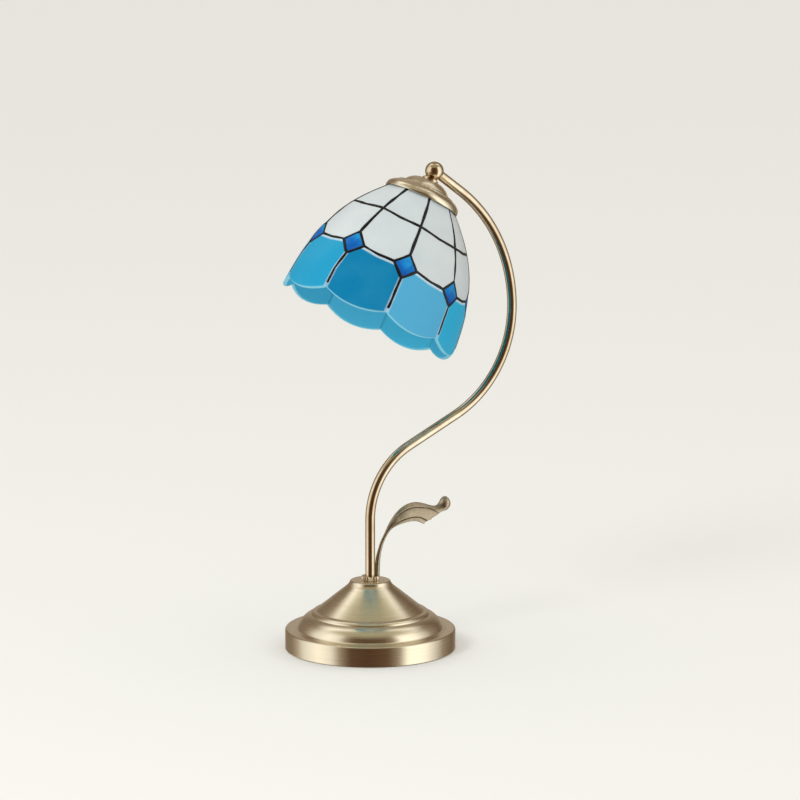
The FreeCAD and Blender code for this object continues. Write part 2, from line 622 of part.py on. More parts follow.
def glass_shade():
    """Moulded bell of nine bulging panels with creases between them and a scalloped rim."""
    count, wall = int(SIZES["panels"]), SIZES["glass_wall"]
    notch, hang = SIZES["rim_notch"], SIZES["rim_hang"]
    top, bottom, bore = SIZES["land_top"], SIZES["land_end"], SIZES["land_bore"]
    half = math.pi / count
    crease = Part.BSplineCurve()
    crease.interpolate([Vector(SIZES["bell_%d" % place], 0, SIZES["bell_depth_%d" % place])
                        for place in range(1, 7)])
    across, down = 8, 12

    def crease_radius(depth):
        """Radius of the crease line at a depth, by halving its parameter range."""
        low, high = crease.FirstParameter, crease.LastParameter
        for _ in range(40):
            middle = (low + high) / 2
            low, high = (middle, high) if crease.value(middle).z < depth else (low, middle)
        return crease.value(low).x

    def panel_face(start, inset):
        """One panel's outer or inner face, from its top edge to its rim."""
        rows = []
        for u in range(across + 1):
            turn = half * (2.0 * u / across - 1)
            lobe = 1 - (turn / half) ** 2
            flat = math.cos(half) / math.cos(turn)
            row = []
            for v in range(down + 1):
                depth = start + (notch + hang * lobe - start) * v / down
                bulge = SIZES["bulge_top"] + (SIZES["bulge_rim"] - SIZES["bulge_top"]) * v / down
                radius = crease_radius(depth) * ((1 - bulge) * flat + bulge) - inset
                row.append(Vector(radius * math.cos(turn), radius * math.sin(turn), depth))
            rows.append(row)
        surface = Part.BSplineSurface()
        surface.interpolate(rows)
        return surface.toShape()

    def end_edge(face, depth):
        """The face's edge that starts and stops at a depth."""
        return [edge for edge in face.Edges
                if all(abs(end.Z - depth) < 0.01 for end in edge.Vertexes)][0]

    outer, inner = panel_face(top, 0.0), panel_face(bottom, wall)
    rim = Part.makeRuledSurface(end_edge(outer, notch), end_edge(inner, notch))
    faces, crowns = [], {top: [], bottom: []}
    for place in range(count):
        for piece in (outer, inner, rim):
            copy = piece.copy()
            copy.rotate(Vector(0, 0, 0), Vector(0, 0, 1),
                        SIZES["panel_turn"] + math.degrees(2 * half) * place)
            faces.append(copy)
            for depth, edges in crowns.items():
                edges += [edge for edge in copy.Edges
                          if all(abs(end.Z - depth) < 0.01 for end in edge.Vertexes)]
    for depth, edges in crowns.items():
        hole = Part.Circle(Vector(0, 0, depth), Vector(0, 0, 1), bore).toShape()
        crown = Part.Face(Part.Wire(Part.__sortEdges__(edges)))
        faces += crown.cut(Part.Face(Part.Wire([hole]))).Faces
    faces.append(Part.makeCylinder(bore, bottom - top, Vector(0, 0, top)).Faces[0])
    bell = Part.Shell(faces)
    bell.sewShape()
    solid = Part.Solid(bell)
    if solid.Volume < 0:
        solid.reverse()
    shade = document.addObject("Part::Feature", "shade_bell")
    shade.Shape = solid
    in_head(shade)
    keep(shade, "glass_shade")


glass_shade()


# --- check and write ------------------------------------------------------------------------

document.recompute()
for thing in document.Objects:
    if "Invalid" in thing.State or "Error" in thing.State:
        raise RuntimeError("%s did not rebuild: %s" % (thing.Label, thing.State))
os.makedirs("parts", exist_ok=True)
for node in nodes:
    if node.Shape.isNull() or not node.Shape.isValid():
        raise RuntimeError(node.Label + " has no valid shape")
for node in nodes:
    node.Shape.exportStep("parts/%s.step" % node.Label)
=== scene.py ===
import json
import math

import bpy
from bpy.props import (FloatProperty, FloatVectorProperty, IntProperty, PointerProperty,
                       StringProperty)
from mathutils import Matrix, Vector, noise


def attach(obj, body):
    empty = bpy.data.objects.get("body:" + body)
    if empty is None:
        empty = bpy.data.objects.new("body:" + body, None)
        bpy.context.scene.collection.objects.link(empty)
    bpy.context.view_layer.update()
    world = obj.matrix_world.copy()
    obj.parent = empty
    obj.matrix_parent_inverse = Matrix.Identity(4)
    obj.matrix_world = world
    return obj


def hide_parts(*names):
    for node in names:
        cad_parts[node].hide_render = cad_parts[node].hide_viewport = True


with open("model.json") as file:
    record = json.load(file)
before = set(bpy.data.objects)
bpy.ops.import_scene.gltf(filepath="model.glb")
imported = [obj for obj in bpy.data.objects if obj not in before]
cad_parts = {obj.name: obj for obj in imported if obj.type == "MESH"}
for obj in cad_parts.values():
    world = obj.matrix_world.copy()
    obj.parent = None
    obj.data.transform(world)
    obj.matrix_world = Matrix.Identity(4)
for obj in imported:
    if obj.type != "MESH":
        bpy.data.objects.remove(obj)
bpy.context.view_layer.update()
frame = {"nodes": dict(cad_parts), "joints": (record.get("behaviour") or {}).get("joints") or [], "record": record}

bl_info = {
    "name": "Painted Glass Table Lamp",
    "version": (1, 0, 0),
    "blender": (4, 5, 0),
    "location": "View3D > Sidebar > Table Lamp",
    "description": "Builds the looks of a swan-neck table lamp round its CAD frame",
    "category": "Object",
}

MM = 0.001
JOINTS = {joint["name"]: joint for joint in frame["joints"]}
BALL = Vector(JOINTS["head_swivel"]["pos_m"])
DOWN = Vector(JOINTS["head_swivel"]["axis"]).normalized()


# --- frames and outlines ---------------------------------------------------------------------

def head_frame():
    """Matrix of the head's own frame: origin in the ball, +Z down the shade's axis."""
    side = Vector((0, 1, 0)).cross(DOWN).normalized()
    columns = (side, Vector((0, 1, 0)), DOWN, BALL)
    return Matrix([[column[row] for column in columns] for row in range(3)] + [[0, 0, 0, 1]])


HEAD = head_frame()


def arc(start, end, radius, side, steps=8):
    """Points of an arc after its start; side +1 has the centre on the left of the way."""
    start, end = Vector(start), Vector(end)
    chord = end - start
    rise = math.sqrt(max(radius ** 2 - (chord.length / 2) ** 2, 0.0))
    centre = (start + end) / 2 + Vector((-chord.y, chord.x)).normalized() * rise * side
    first = math.atan2(start.y - centre.y, start.x - centre.x)
    last = math.atan2(end.y - centre.y, end.x - centre.x)
    turn = (last - first) % math.tau if side > 0 else -((first - last) % math.tau)
    return [(centre.x + radius * math.cos(first + turn * step / steps),
             centre.y + radius * math.sin(first + turn * step / steps))
            for step in range(1, steps + 1)]


def natural_spline(knots):
    """Smooth curve through (depth, radius) knots, as a function of depth."""
    count = len(knots) - 1
    gaps = [knots[i + 1][0] - knots[i][0] for i in range(count)]
    bend, share, rest = [0.0] * (count + 1), [0.0] * (count + 1), [0.0] * (count + 1)
    for i in range(1, count):
        slope = 6 * ((knots[i + 1][1] - knots[i][1]) / gaps[i]
                     - (knots[i][1] - knots[i - 1][1]) / gaps[i - 1])
        middle = 2 * (gaps[i] + gaps[i - 1]) - gaps[i - 1] * share[i - 1]
        share[i] = gaps[i] / middle
        rest[i] = (slope - gaps[i - 1] * rest[i - 1]) / middle
    for i in range(count - 1, 0, -1):
        bend[i] = rest[i] - share[i] * bend[i + 1]

    def value(depth):
        i = max(0, min(count - 1, sum(depth > knot[0] for knot in knots[1:-1])))
        left, right, gap = depth - knots[i][0], knots[i + 1][0] - depth, gaps[i]
        return ((bend[i] * right ** 3 + bend[i + 1] * left ** 3) / (6 * gap)
                + (knots[i][1] / gap - bend[i] * gap / 6) * right
                + (knots[i + 1][1] / gap - bend[i + 1] * gap / 6) * left)

    return value


# --- modelling helpers -----------------------------------------------------------------------

def deselect():
    """Leave edit mode and select nothing."""
    if bpy.context.object and bpy.context.object.mode != "OBJECT":
        bpy.ops.object.mode_set(mode="OBJECT")
    bpy.ops.object.select_all(action="DESELECT")


def only(piece):
    """Make a piece the one selected and active object."""
    deselect()
    piece.select_set(True)
    bpy.context.view_layer.objects.active = piece
    return piece


def apply_modifier(piece, kind, **settings):
    """Add a modifier with its settings and apply it."""
    only(piece)
    modifier = piece.modifiers.new(kind.title(), kind)
    for name, value in settings.items():
        setattr(modifier, name, value)
    bpy.ops.object.modifier_apply(modifier=modifier.name)


def settle(piece, angle=35, merge=0.00001):
    """Merge doubles, turn faces outwards and smooth all but the sharp edges."""
    only(piece)
    bpy.ops.object.mode_set(mode="EDIT")
    bpy.ops.mesh.select_all(action="SELECT")
    bpy.ops.mesh.remove_doubles(threshold=merge)
    bpy.ops.mesh.normals_make_consistent(inside=False)
    bpy.ops.object.mode_set(mode="OBJECT")
    bpy.ops.object.shade_smooth_by_angle(angle=math.radians(angle))


def face_out(piece, middle):
    """Flip an open sheet whose faces look towards its middle."""
    if sum(face.normal.dot(face.center - middle) for face in piece.data.polygons) < 0:
        only(piece)
        bpy.ops.object.mode_set(mode="EDIT")
        bpy.ops.mesh.select_all(action="SELECT")
        bpy.ops.mesh.flip_normals()
        bpy.ops.object.mode_set(mode="OBJECT")


def join(name, pieces):
    """Join pieces into one with a name."""
    only(pieces[0])
    for piece in pieces:
        piece.select_set(True)
    bpy.ops.object.join()
    joined = bpy.context.object
    joined.name = joined.data.name = name
    return joined


def spun(name, outline, steps, place_at=Matrix.Identity(4)):
    """Turn a closed outline of (radius, height) points in mm about Z, then place the piece."""
    deselect()
    bpy.ops.mesh.primitive_plane_add(size=MM)
    piece = bpy.context.object
    piece.name = piece.data.name = name
    bpy.ops.object.mode_set(mode="EDIT")
    bpy.ops.mesh.select_all(action="SELECT")
    bpy.ops.mesh.merge(type="CENTER")
    points = [Vector((radius, 0, height)) * MM for radius, height in outline]
    bpy.ops.transform.translate(value=points[0])
    for before, after in zip(points, points[1:] + points[:1]):
        bpy.ops.mesh.extrude_vertices_move(TRANSFORM_OT_translate={"value": after - before})
    bpy.ops.mesh.select_all(action="SELECT")
    bpy.ops.mesh.remove_doubles(threshold=0.00001)
    bpy.ops.mesh.spin(steps=steps, angle=math.tau, center=(0, 0, 0), axis=(0, 0, 1))
    bpy.ops.object.mode_set(mode="OBJECT")
    settle(piece)
    around_uv(piece, points)
    piece.data.transform(place_at)
    return piece


def rippled(name, outline, steps, ripple, place_at=Matrix.Identity(4)):
    """Turn a closed outline in mm about Z while its radius ripples as (turn, radius, height)."""
    loop = outline + outline[:1]

    def place(u, v):
        radius, height = loop[round(v * (len(loop) - 1))]
        turn = u * math.tau
        radius += ripple(turn, radius, height)
        return Vector((radius * math.cos(turn), radius * math.sin(turn), height)) * MM

    piece = mapped_grid(name, steps, len(loop) - 1, place)
    settle(piece, angle=50)
    piece.data.transform(place_at)
    return piece


def around_uv(piece, points):
    """UV map of a turned piece: U is the turn round the axis, V the way along the outline."""
    along = [0.0]
    for before, after in zip(points, points[1:]):
        along.append(along[-1] + (after - before).length)
    mesh = piece.data
    layer = mesh.uv_layers.new(name="turning") if not mesh.uv_layers else mesh.uv_layers[0]
    layer.name = "turning"
    nearest = {}
    for vertex in mesh.vertices:
        flat = Vector((math.hypot(vertex.co.x, vertex.co.y), 0, vertex.co.z))
        nearest[vertex.index] = along[min(range(len(points)),
                                          key=lambda i: (points[i] - flat).length_squared)]
    for polygon in mesh.polygons:
        middle = math.atan2(polygon.center.y, polygon.center.x) / math.tau
        for loop in polygon.loop_indices:
            vertex = mesh.vertices[mesh.loops[loop].vertex_index]
            turn = math.atan2(vertex.co.y, vertex.co.x) / math.tau
            turn += round(middle - turn)
            layer.data[loop].uv = (turn, nearest[vertex.index])


def mapped_grid(name, across, along, place, maps=None):
    """A grid primitive whose every point (u, v from 0 to 1) is put where place says; maps gives
    the point's place in each named UV map."""
    deselect()
    bpy.ops.mesh.primitive_grid_add(x_subdivisions=across, y_subdivisions=along, size=1,
                                    calc_uvs=True)
    piece = bpy.context.object
    piece.name = piece.data.name = name
    mesh = piece.data
    spots = [(vertex.co.x + 0.5, vertex.co.y + 0.5) for vertex in mesh.vertices]
    if maps:
        mesh.uv_layers.remove(mesh.uv_layers[0])
        placed = [maps(*spot) for spot in spots]
        for title in placed[0]:
            layer = mesh.uv_layers.new(name=title)
            for loop in mesh.loops:
                layer.data[loop.index].uv = placed[loop.vertex_index][title]
    for vertex, spot in zip(mesh.vertices, spots):
        vertex.co = place(*spot)
    return piece


def close_ends(piece):
    """Merge a rolled-up grid's seam and fill its two open ends."""
    only(piece)
    bpy.ops.object.mode_set(mode="EDIT")
    bpy.ops.mesh.select_all(action="SELECT")
    bpy.ops.mesh.remove_doubles(threshold=0.00002)
    bpy.ops.mesh.select_all(action="DESELECT")
    bpy.ops.mesh.select_mode(type="EDGE")
    bpy.ops.mesh.select_non_manifold()
    bpy.ops.mesh.fill_holes(sides=0)
    bpy.ops.mesh.select_mode(type="VERT")
    bpy.ops.object.mode_set(mode="OBJECT")


# --- materials -------------------------------------------------------------------------------

def linear(colour):
    """Linear RGBA from an sRGB hex colour."""
    parts = [int(colour[i:i + 2], 16) / 255 for i in (0, 2, 4)]
    return [part / 12.92 if part <= 0.04045 else ((part + 0.055) / 1.055) ** 2.4
            for part in parts] + [1.0]


def add(tree, kind, inputs=None, **settings):
    """Add a node with its settings; inputs hold values, or sockets to link from."""
    made = tree.nodes.new(kind)
    for name, value in settings.items():
        setattr(made, name, value)
    for name, value in (inputs or {}).items():
        if isinstance(value, bpy.types.NodeSocket):
            tree.links.new(value, made.inputs[name])
        else:
            made.inputs[name].default_value = value
    return made


def maths(tree, operation, *values, clamp=False):
    """Maths node on one to three values or sockets."""
    return add(tree, "ShaderNodeMath", dict(enumerate(values)), operation=operation,
               use_clamp=clamp).outputs[0]


def mixed(tree, factor, first, second):
    """Colour on the way from a first colour to a second."""
    return add(tree, "ShaderNodeMix", {0: factor, 6: first, 7: second},
               data_type="RGBA").outputs[2]


def ranged(tree, value, near, far, low=0.0, high=1.0, kind="LINEAR"):
    """Value that goes from low to high while another goes from near to far."""
    return add(tree, "ShaderNodeMapRange", {
        "Value": value, "From Min": near, "From Max": far, "To Min": low, "To Max": high},
        interpolation_type=kind).outputs["Result"]


def mottled(tree, place, scale, detail=2.0, **inputs):
    """Noise of a scale in its place's own units."""
    return add(tree, "ShaderNodeTexNoise", {"Vector": place, "Scale": scale, "Detail": detail,
                                            **inputs}).outputs["Fac"]


def uv_parts(tree, name):
    """X and Y sockets of a UV map."""
    place = add(tree, "ShaderNodeUVMap", uv_map=name).outputs["UV"]
    return add(tree, "ShaderNodeSeparateXYZ", {"Vector": place}).outputs


def link_finish(tree, principled, colour, gloss=None, height=None, relief=0.0,
                strength=0.5):
    """Link a shader's colour and roughness, and a relief in mm from a height."""
    tree.links.new(colour, principled.inputs["Base Color"])
    if gloss:
        tree.links.new(gloss, principled.inputs["Roughness"])
    if relief:
        bump = add(tree, "ShaderNodeBump", {"Height": height, "Distance": relief * MM,
                                            "Strength": strength})
        tree.links.new(bump.outputs["Normal"], principled.inputs["Normal"])


def new_material(name, **shader):
    """A material with its Principled shader set; returns it with its tree and shader."""
    material = bpy.data.materials.new(name)
    material.use_nodes = True
    tree = material.node_tree
    principled = tree.nodes["Principled BSDF"]
    for socket, value in shader.items():
        principled.inputs[socket.replace("_", " ")].default_value = value
    return material, tree, principled


def ramp(tree, factor, stops, interpolation="LINEAR"):
    """Colour ramp from (position, hex colour) stops."""
    made = add(tree, "ShaderNodeValToRGB", {"Fac": factor})
    made.color_ramp.interpolation = interpolation
    elements = made.color_ramp.elements
    while len(elements) < len(stops):
        elements.new(1.0)
    for element, (position, colour) in zip(elements, stops):
        element.position = position
        element.color = linear(colour)
    return made.outputs["Color"]


def grained(name, light, dark, grain, metallic=0.0, roughness=0.5, uneven=0.1, relief=0.0,
            **shader):
    """A finish with two tones over a grain in mm, uneven gloss and a fine relief in mm."""
    material, tree, principled = new_material(name, Metallic=metallic, **shader)
    place = add(tree, "ShaderNodeTexCoord").outputs["Object"]
    speck = mottled(tree, place, 1.0 / (grain * MM), 4.0, Roughness=0.6)
    cloud = mottled(tree, place, 0.12 / (grain * MM))
    colour = ramp(tree, maths(tree, "MULTIPLY", speck, cloud), [(0.12, dark), (0.42, light)])
    gloss = ranged(tree, speck, 0.3, 0.7, roughness - uneven, roughness + uneven)
    link_finish(tree, principled, colour, gloss, speck, relief, 0.6)
    return material


def spun_brass(settings):
    """Antique brass plate, lathe brushed and lacquered: light is drawn out across the brush
    lines, which run round the axis, and the brown patina stays in them."""
    material, tree, principled = new_material(
        "antique_brass_lathe_brushed", Metallic=1.0, Anisotropic=0.7, Anisotropic_Rotation=0.25,
        Coat_Weight=0.3, Coat_Roughness=0.22)
    turning = uv_parts(tree, "turning")
    # brush lines about 0.25 mm apart, drawn coarser than the real 0.1 mm so that they show
    stretch = add(tree, "ShaderNodeCombineXYZ", {
        "X": maths(tree, "MULTIPLY", turning["X"], 5.0),
        "Y": maths(tree, "MULTIPLY", turning["Y"], 1.0 / (0.25 * MM))}).outputs["Vector"]
    brush = mottled(tree, stretch, 1.0, 3.0, Roughness=0.7)
    broad = add(tree, "ShaderNodeMapping", {"Vector": stretch, "Scale": (0.6, 0.09, 1.0)})
    bands = mottled(tree, broad.outputs["Vector"], 1.0)
    colour = ramp(tree, maths(tree, "ADD", brush, bands),
                  [(0.5, settings.brass_mid), (0.9, settings.brass)])
    gloss = ranged(tree, brush, 0.25, 0.75, 0.17, 0.30)
    link_finish(tree, principled, colour, gloss, brush, 0.016)
    grain = add(tree, "ShaderNodeTangent", direction_type="UV_MAP", uv_map="turning")
    tree.links.new(grain.outputs["Tangent"], principled.inputs["Tangent"])
    return material


def drawn_brass(settings):
    """Antique brass plate on drawn tube, polished: sharp stripes of light, brown between."""
    return grained("antique_brass_polished", settings.brass, settings.brass_mid, 9.0,
                   metallic=1.0, roughness=0.09, uneven=0.02, Coat_Weight=0.2,
                   Coat_Roughness=0.06)


def painted_glass(settings, inner=False):
    """Moulded frosted glass, sprayed and brushed with glass paint: white above, blue fields
    below that differ from panel to panel, and deep blue diamonds. Inside, the colours show
    through the frosted wall, softer and greener, and the creases show as dark lines."""
    name = "frosted_glass_inside" if inner else "frosted_glass_painted"
    material, tree, principled = new_material(
        name, Roughness=0.36, IOR=1.5, Specular_IOR_Level=0.12, Subsurface_Weight=0.18,
        Subsurface_Radius=(1, 1, 1), Subsurface_Scale=0.004)

    def times(first, second, clamp=False):
        return maths(tree, "MULTIPLY", first, second, clamp=clamp)

    def less(first, second, clamp=False):
        return maths(tree, "SUBTRACT", first, second, clamp=clamp)

    def within(value, near, far):
        """1 below near, 0 above far."""
        return ranged(tree, value, near, far, 1.0, 0.0, "SMOOTHSTEP")

    def off(value, middle):
        """How far a value lies from a middle one."""
        return maths(tree, "ABSOLUTE", less(value, middle))

    # where a spot lies: round the shade, across its panel, down from the ball, and in mm off
    # the nearest crease and below the blue's edge
    shade_map, paint_map = uv_parts(tree, "shade"), uv_parts(tree, "paint")
    around = maths(tree, "FRACT", shade_map["X"])
    across = maths(tree, "FRACT", times(around, SHADE["panels"]))
    depth = times(shade_map["Y"], DEPTH_UNIT)
    off_crease = times(less(0.5, off(across, 0.5)), SHADE["panel_width"])
    below = times(paint_map["Y"], DEPTH_UNIT)
    place = add(tree, "ShaderNodeTexCoord").outputs["Object"]
    cloud = mottled(tree, place, 22.0, 3.0, Roughness=0.55)
    strokes = mottled(tree, place, 160.0, 3.0, Distortion=0.6)
    # the three paints, then which of them covers the spot
    blues = [(panel / SHADE["panels"], colour) for panel, colour in enumerate(PANEL_BLUES)]
    blue = ramp(tree, around, blues, "CONSTANT")
    if inner:
        blue = mixed(tree, 0.5, blue, linear("55B4CE"))
    pale = mixed(tree, 0.3, blue, linear("5CBADC"))
    blue = mixed(tree, times(less(cloud, 0.45, clamp=True), 1.5, clamp=True), blue, pale)
    white = mixed(tree, cloud, linear("B8C4C9"), linear(settings.white))
    gem_blue = ramp(tree, maths(tree, "ADD", times(strokes, 0.6), times(below, 0.03)),
                    [(0.1, "1E90D0"), (0.33, "0C66B8"), (0.62, settings.gem)])
    # inside, the borders of the paint are blurred by the frosted wall
    soft = 3.0 if inner else 0.25
    field = less(1.0, within(below, -soft, soft))
    gem = within(paint_map["X"], 0.97 - 0.1 * inner, 1.03 + 0.15 * inner)
    colour = mixed(tree, field, white, blue)
    if not inner:
        # a pale halo just under the blue's edge, and thin paint beside the creases
        halo = times(within(off(below, 1.6), 0.5, 1.8), 0.55)
        edge = times(times(within(off_crease, 1.4, 2.2), 0.3), field)
        colour = mixed(tree, maths(tree, "MAXIMUM", halo, edge), colour, linear("E9F3F6"))
    colour = mixed(tree, times(gem, 0.45) if inner else gem, colour, gem_blue)
    if inner:
        colour = mixed(tree, times(within(off_crease, 0.3, 1.5), 0.5), colour,
                       linear("2E7F96"))
    # thin paint on the lip, which hangs lowest in the middle of each panel
    off_middle = times(less(across, 0.5), 2.0)
    rim = maths(tree, "MULTIPLY_ADD", times(off_middle, off_middle), -SHADE["hang"],
                SHADE["notch"] + SHADE["hang"] - 0.4)
    lip = less(1.0, within(less(depth, rim), -0.8, -0.3))
    colour = mixed(tree, times(lip, 0.6), colour, linear(settings.rim_colour))
    if inner:
        # daylight that comes through the wall
        tree.links.new(colour, principled.inputs["Emission Color"])
        principled.inputs["Emission Strength"].default_value = 0.22
    frost = mottled(tree, place, 1 / (0.5 * MM))
    link_finish(tree, principled, colour, ranged(tree, cloud, 0.3, 0.7, 0.30, 0.42),
           maths(tree, "ADD", times(frost, 0.15), times(strokes, 0.85)), 0.12, 0.35)
    return material


def stock(settings):
    """Finishes of the pieces that keep their CAD shape, by material slot."""
    return {
        # drawn tube and turned fittings, plated, aged and polished: crisp stripes of light
        "drawn_brass": drawn_brass(settings),
        # lamellar iron as cast under thin black paint: pebbled, dull
        "cast_iron": grained("cast_iron_painted", "2A2A2B", "151516", 0.9, roughness=0.62,
                             relief=0.12),
        # zinc plate over rolled steel: cool grey with a faint spangle
        "zinc_steel": grained("zinc_plated_steel", "C6CACB", "9FA5A8", 0.6, metallic=1.0,
                              roughness=0.34, relief=0.01),
        # black powder coat: fine orange peel
        "cover_steel": grained("powder_coated_steel", "1E1E1F", "121213", 0.5, roughness=0.48,
                               relief=0.03),
        # needle felt, charcoal: short tangled fibres
        "felt_pad": grained("needle_felt", "34343A", "17171A", 0.35, roughness=0.95, relief=0.2,
                            Sheen_Weight=0.4, Sheen_Roughness=0.5),
        # moulded nylon: satin, faint moulding texture
        "bushing_black": grained("moulded_nylon", "1F1F20", "131314", 0.25, roughness=0.5,
                                 relief=0.015),
        # pressed phenolic: glossy near-black with faint filler flecks
        "holder_black": grained("moulded_phenolic", "1C1A19", "0D0C0C", 0.3, roughness=0.28,
                                relief=0.008),
        # fired steatite: chalky white with fine pits
        "insert_white": grained("fired_steatite", "E9E6DC", "CFCBBE", 0.2, roughness=0.55,
                                relief=0.03),
        # stamped cartridge brass, bright from the press
        "contact_brass": grained("stamped_brass", "E3C27A", "B8934C", 1.2, metallic=1.0,
                                 roughness=0.25, uneven=0.06, relief=0.004),
        # extruded vinyl insulation: soft gloss
        "lead_brown": grained("vinyl_brown", "6B3A20", "4A2613", 0.8, roughness=0.4, relief=0.01),
        "lead_blue": grained("vinyl_blue", "2E5FA8", "1C417C", 0.8, roughness=0.4, relief=0.01),
        # moulded nylon closed-end crimps, natural
        "crimp_clear": grained("natural_nylon", "DAD9D2", "BDBCB2", 0.5, roughness=0.4,
                               relief=0.01, Subsurface_Weight=0.3, Subsurface_Scale=0.001),
        # cast silicone: milky, dull
        "silicone": grained("cast_silicone", "DEDDD8", "C9C8C2", 0.6, roughness=0.55,
                            relief=0.01, Subsurface_Weight=0.2, Subsurface_Scale=0.001),
        # nickel over drawn brass: bright with fine draw marks
        "lamp_nickel": grained("nickel_plated_brass", "D4D2CC", "ACA9A2", 0.7, metallic=1.0,
                               roughness=0.24, uneven=0.06, relief=0.006),
        # fused vitrite: glassy near-black purple
        "lamp_glaze": grained("fused_vitrite", "1B1520", "0D0A10", 0.6, roughness=0.18,
                              uneven=0.05, relief=0.01),
        # blown globe coated white inside: even milky gloss
        "opal_glass": grained("opal_coated_glass", "F2F0EA", "E4E2DA", 4.0, roughness=0.16,
                              uneven=0.03, relief=0.01, Subsurface_Weight=0.3,
                              Subsurface_Scale=0.004, Emission_Color=linear("FFF4DE"),
                              Emission_Strength=0.12),
    }


def cast_leaf_finish(settings):
    """Aged brass plate on a sand casting, satin: finely pitted, with brown left in the veins,
    which the UV map's X marks from 0 to 1."""
    material = grained("cast_brass_aged", settings.leaf_light, settings.leaf_dark, 1.6,
                       metallic=1.0, roughness=0.40, uneven=0.05, relief=0.05)
    tree = material.node_tree
    principled = tree.nodes["Principled BSDF"]
    plain = principled.inputs["Base Color"].links[0].from_socket
    link_finish(tree, principled, mixed(tree, uv_parts(tree, "veins")["X"], plain,
                                        linear(settings.vein)))
    return material


def line_paint():
    """Relief outline paint, black: rubbery, slightly glossy, thick where the nozzle paused."""
    return grained("relief_outline_paint", "101113", "050506", 1.5, roughness=0.42, uneven=0.08,
                   relief=0.08, Specular_IOR_Level=0.3)


def edging_paint():
    """White paint, matt, that shows as a fine edge on both sides of each black line."""
    return grained("edging_paint", "F4F7F8", "E4EBEE", 1.5, roughness=0.55, uneven=0.05,
                   relief=0.02, Specular_IOR_Level=0.3)


# --- the shade's surface ---------------------------------------------------------------------

# the shade in mm and degrees, with depths counted down from the ball
SHADE = {
    "panels": 9, "turn": -8.1,  # how many, and the turn of the first one's middle
    "top": 22.5, "mouth": 20.4, "wall": 3.0,  # depth and radius of the upper edge, thickness
    "notch": 128.8, "hang": 6.2,  # depth of the rim's notches, how far it hangs between them
    "bulge_top": 0.4, "bulge_rim": 0.75,  # how round the panels are: 0 is flat, 1 is round
    "inset": 0.25,  # how far the glass stays inside the frame's
    "crown": 0.04,  # share of the wall's rows that close in to the mouth
    "row_depth": 50.5, "field_depth": 86.9,  # upper row of lines, edge of the blue
    "diamond_width": 0.215, "diamond_height": 10.2,  # half width in panels, half height
    "panel_width": 46.0,  # width of a panel beside its diamonds
    "cap_depth": 24.5, "line_bend": 112.0, "line_end": 125.5,  # course of the upright lines
}
# blues of the nine panels, counted round from the one at the shade's turn
PANEL_BLUES = ["1A9AC6", "2A9FCB", "0A8CBA", "3AA3CE", "1D9FC8", "0A88B8", "22ABD8", "52AAD3",
               "007BAB"]
# degrees by which the mould's creases lie off an even spacing
MOULD_DRIFT = (2.6, 1.2, 0.0, -0.5, 0.0, 0.4, 0.0, 0.0, 1.8)
# the paint and shade maps hold depths in this many mm, so that they stay between 0 and 1
DEPTH_UNIT = 200.0
# radius of the creases between the panels at a depth
CREASES = natural_spline([(22.0, 26.2), (39.5, 42.6), (56.3, 55.2), (77.1, 65.4),
                          (100.0, 71.8), (136.0, 75.6)])


def crease_turn(crease):
    """Angle of a crease in degrees; creases count on past a full turn."""
    lap, place = divmod(crease, SHADE["panels"])
    step = 360 / SHADE["panels"]
    return SHADE["turn"] + step * (place + 0.5) + 360 * lap + MOULD_DRIFT[place]


def panel_at(turn, border):
    """Number of the panel that an angle falls in, where border gives each crease's angle."""
    panel = math.floor((turn - SHADE["turn"]) / (360 / SHADE["panels"]) + 0.5)
    while turn < border(panel - 1):
        panel -= 1
    while turn >= border(panel):
        panel += 1
    return panel


def panel_share(turn):
    """Panel number and place across it, from 0 to 1, of an angle in degrees."""
    panel = panel_at(turn, crease_turn)
    share = (turn - crease_turn(panel - 1)) / (crease_turn(panel) - crease_turn(panel - 1))
    share = (panel + share) % SHADE["panels"]
    return int(share), share - int(share)


def rim_depth(turn):
    """Depth of the scalloped rim at an angle."""
    place = 2 * panel_share(turn)[1] - 1
    return SHADE["notch"] + SHADE["hang"] * (1 - place * place)


def shade_radius(turn, depth):
    """Radius of the shade's outside in mm at an angle in degrees and a depth in mm."""
    half = math.pi / SHADE["panels"]
    across = (2 * panel_share(turn)[1] - 1) * half
    down = (depth - SHADE["top"]) / (rim_depth(turn) - SHADE["top"])
    bulge = SHADE["bulge_top"] + (SHADE["bulge_rim"] - SHADE["bulge_top"]) * down
    flat = math.cos(half) / math.cos(across)
    return CREASES(depth) * ((1 - bulge) * flat + bulge) - SHADE["inset"]


def shade_point(turn, depth, proud=0.0):
    """Point on the shade in the row frame, in metres, raised off the surface by proud mm."""
    def at(angle, level):
        radius = shade_radius(angle, level)
        return Vector((radius * math.cos(math.radians(angle)),
                       radius * math.sin(math.radians(angle)), level))

    spot = at(turn, depth)
    if proud:
        spot += (at(turn + 0.4, depth) - at(turn - 0.4, depth)).cross(
            at(turn, depth + 0.4) - at(turn, depth - 0.4)).normalized() * proud
    return HEAD @ (spot * MM)


# height of a painted line's edges, just inside the glass, and the mm between its points
LINE_ROOT = -0.12
LINE_STEP = 1.6
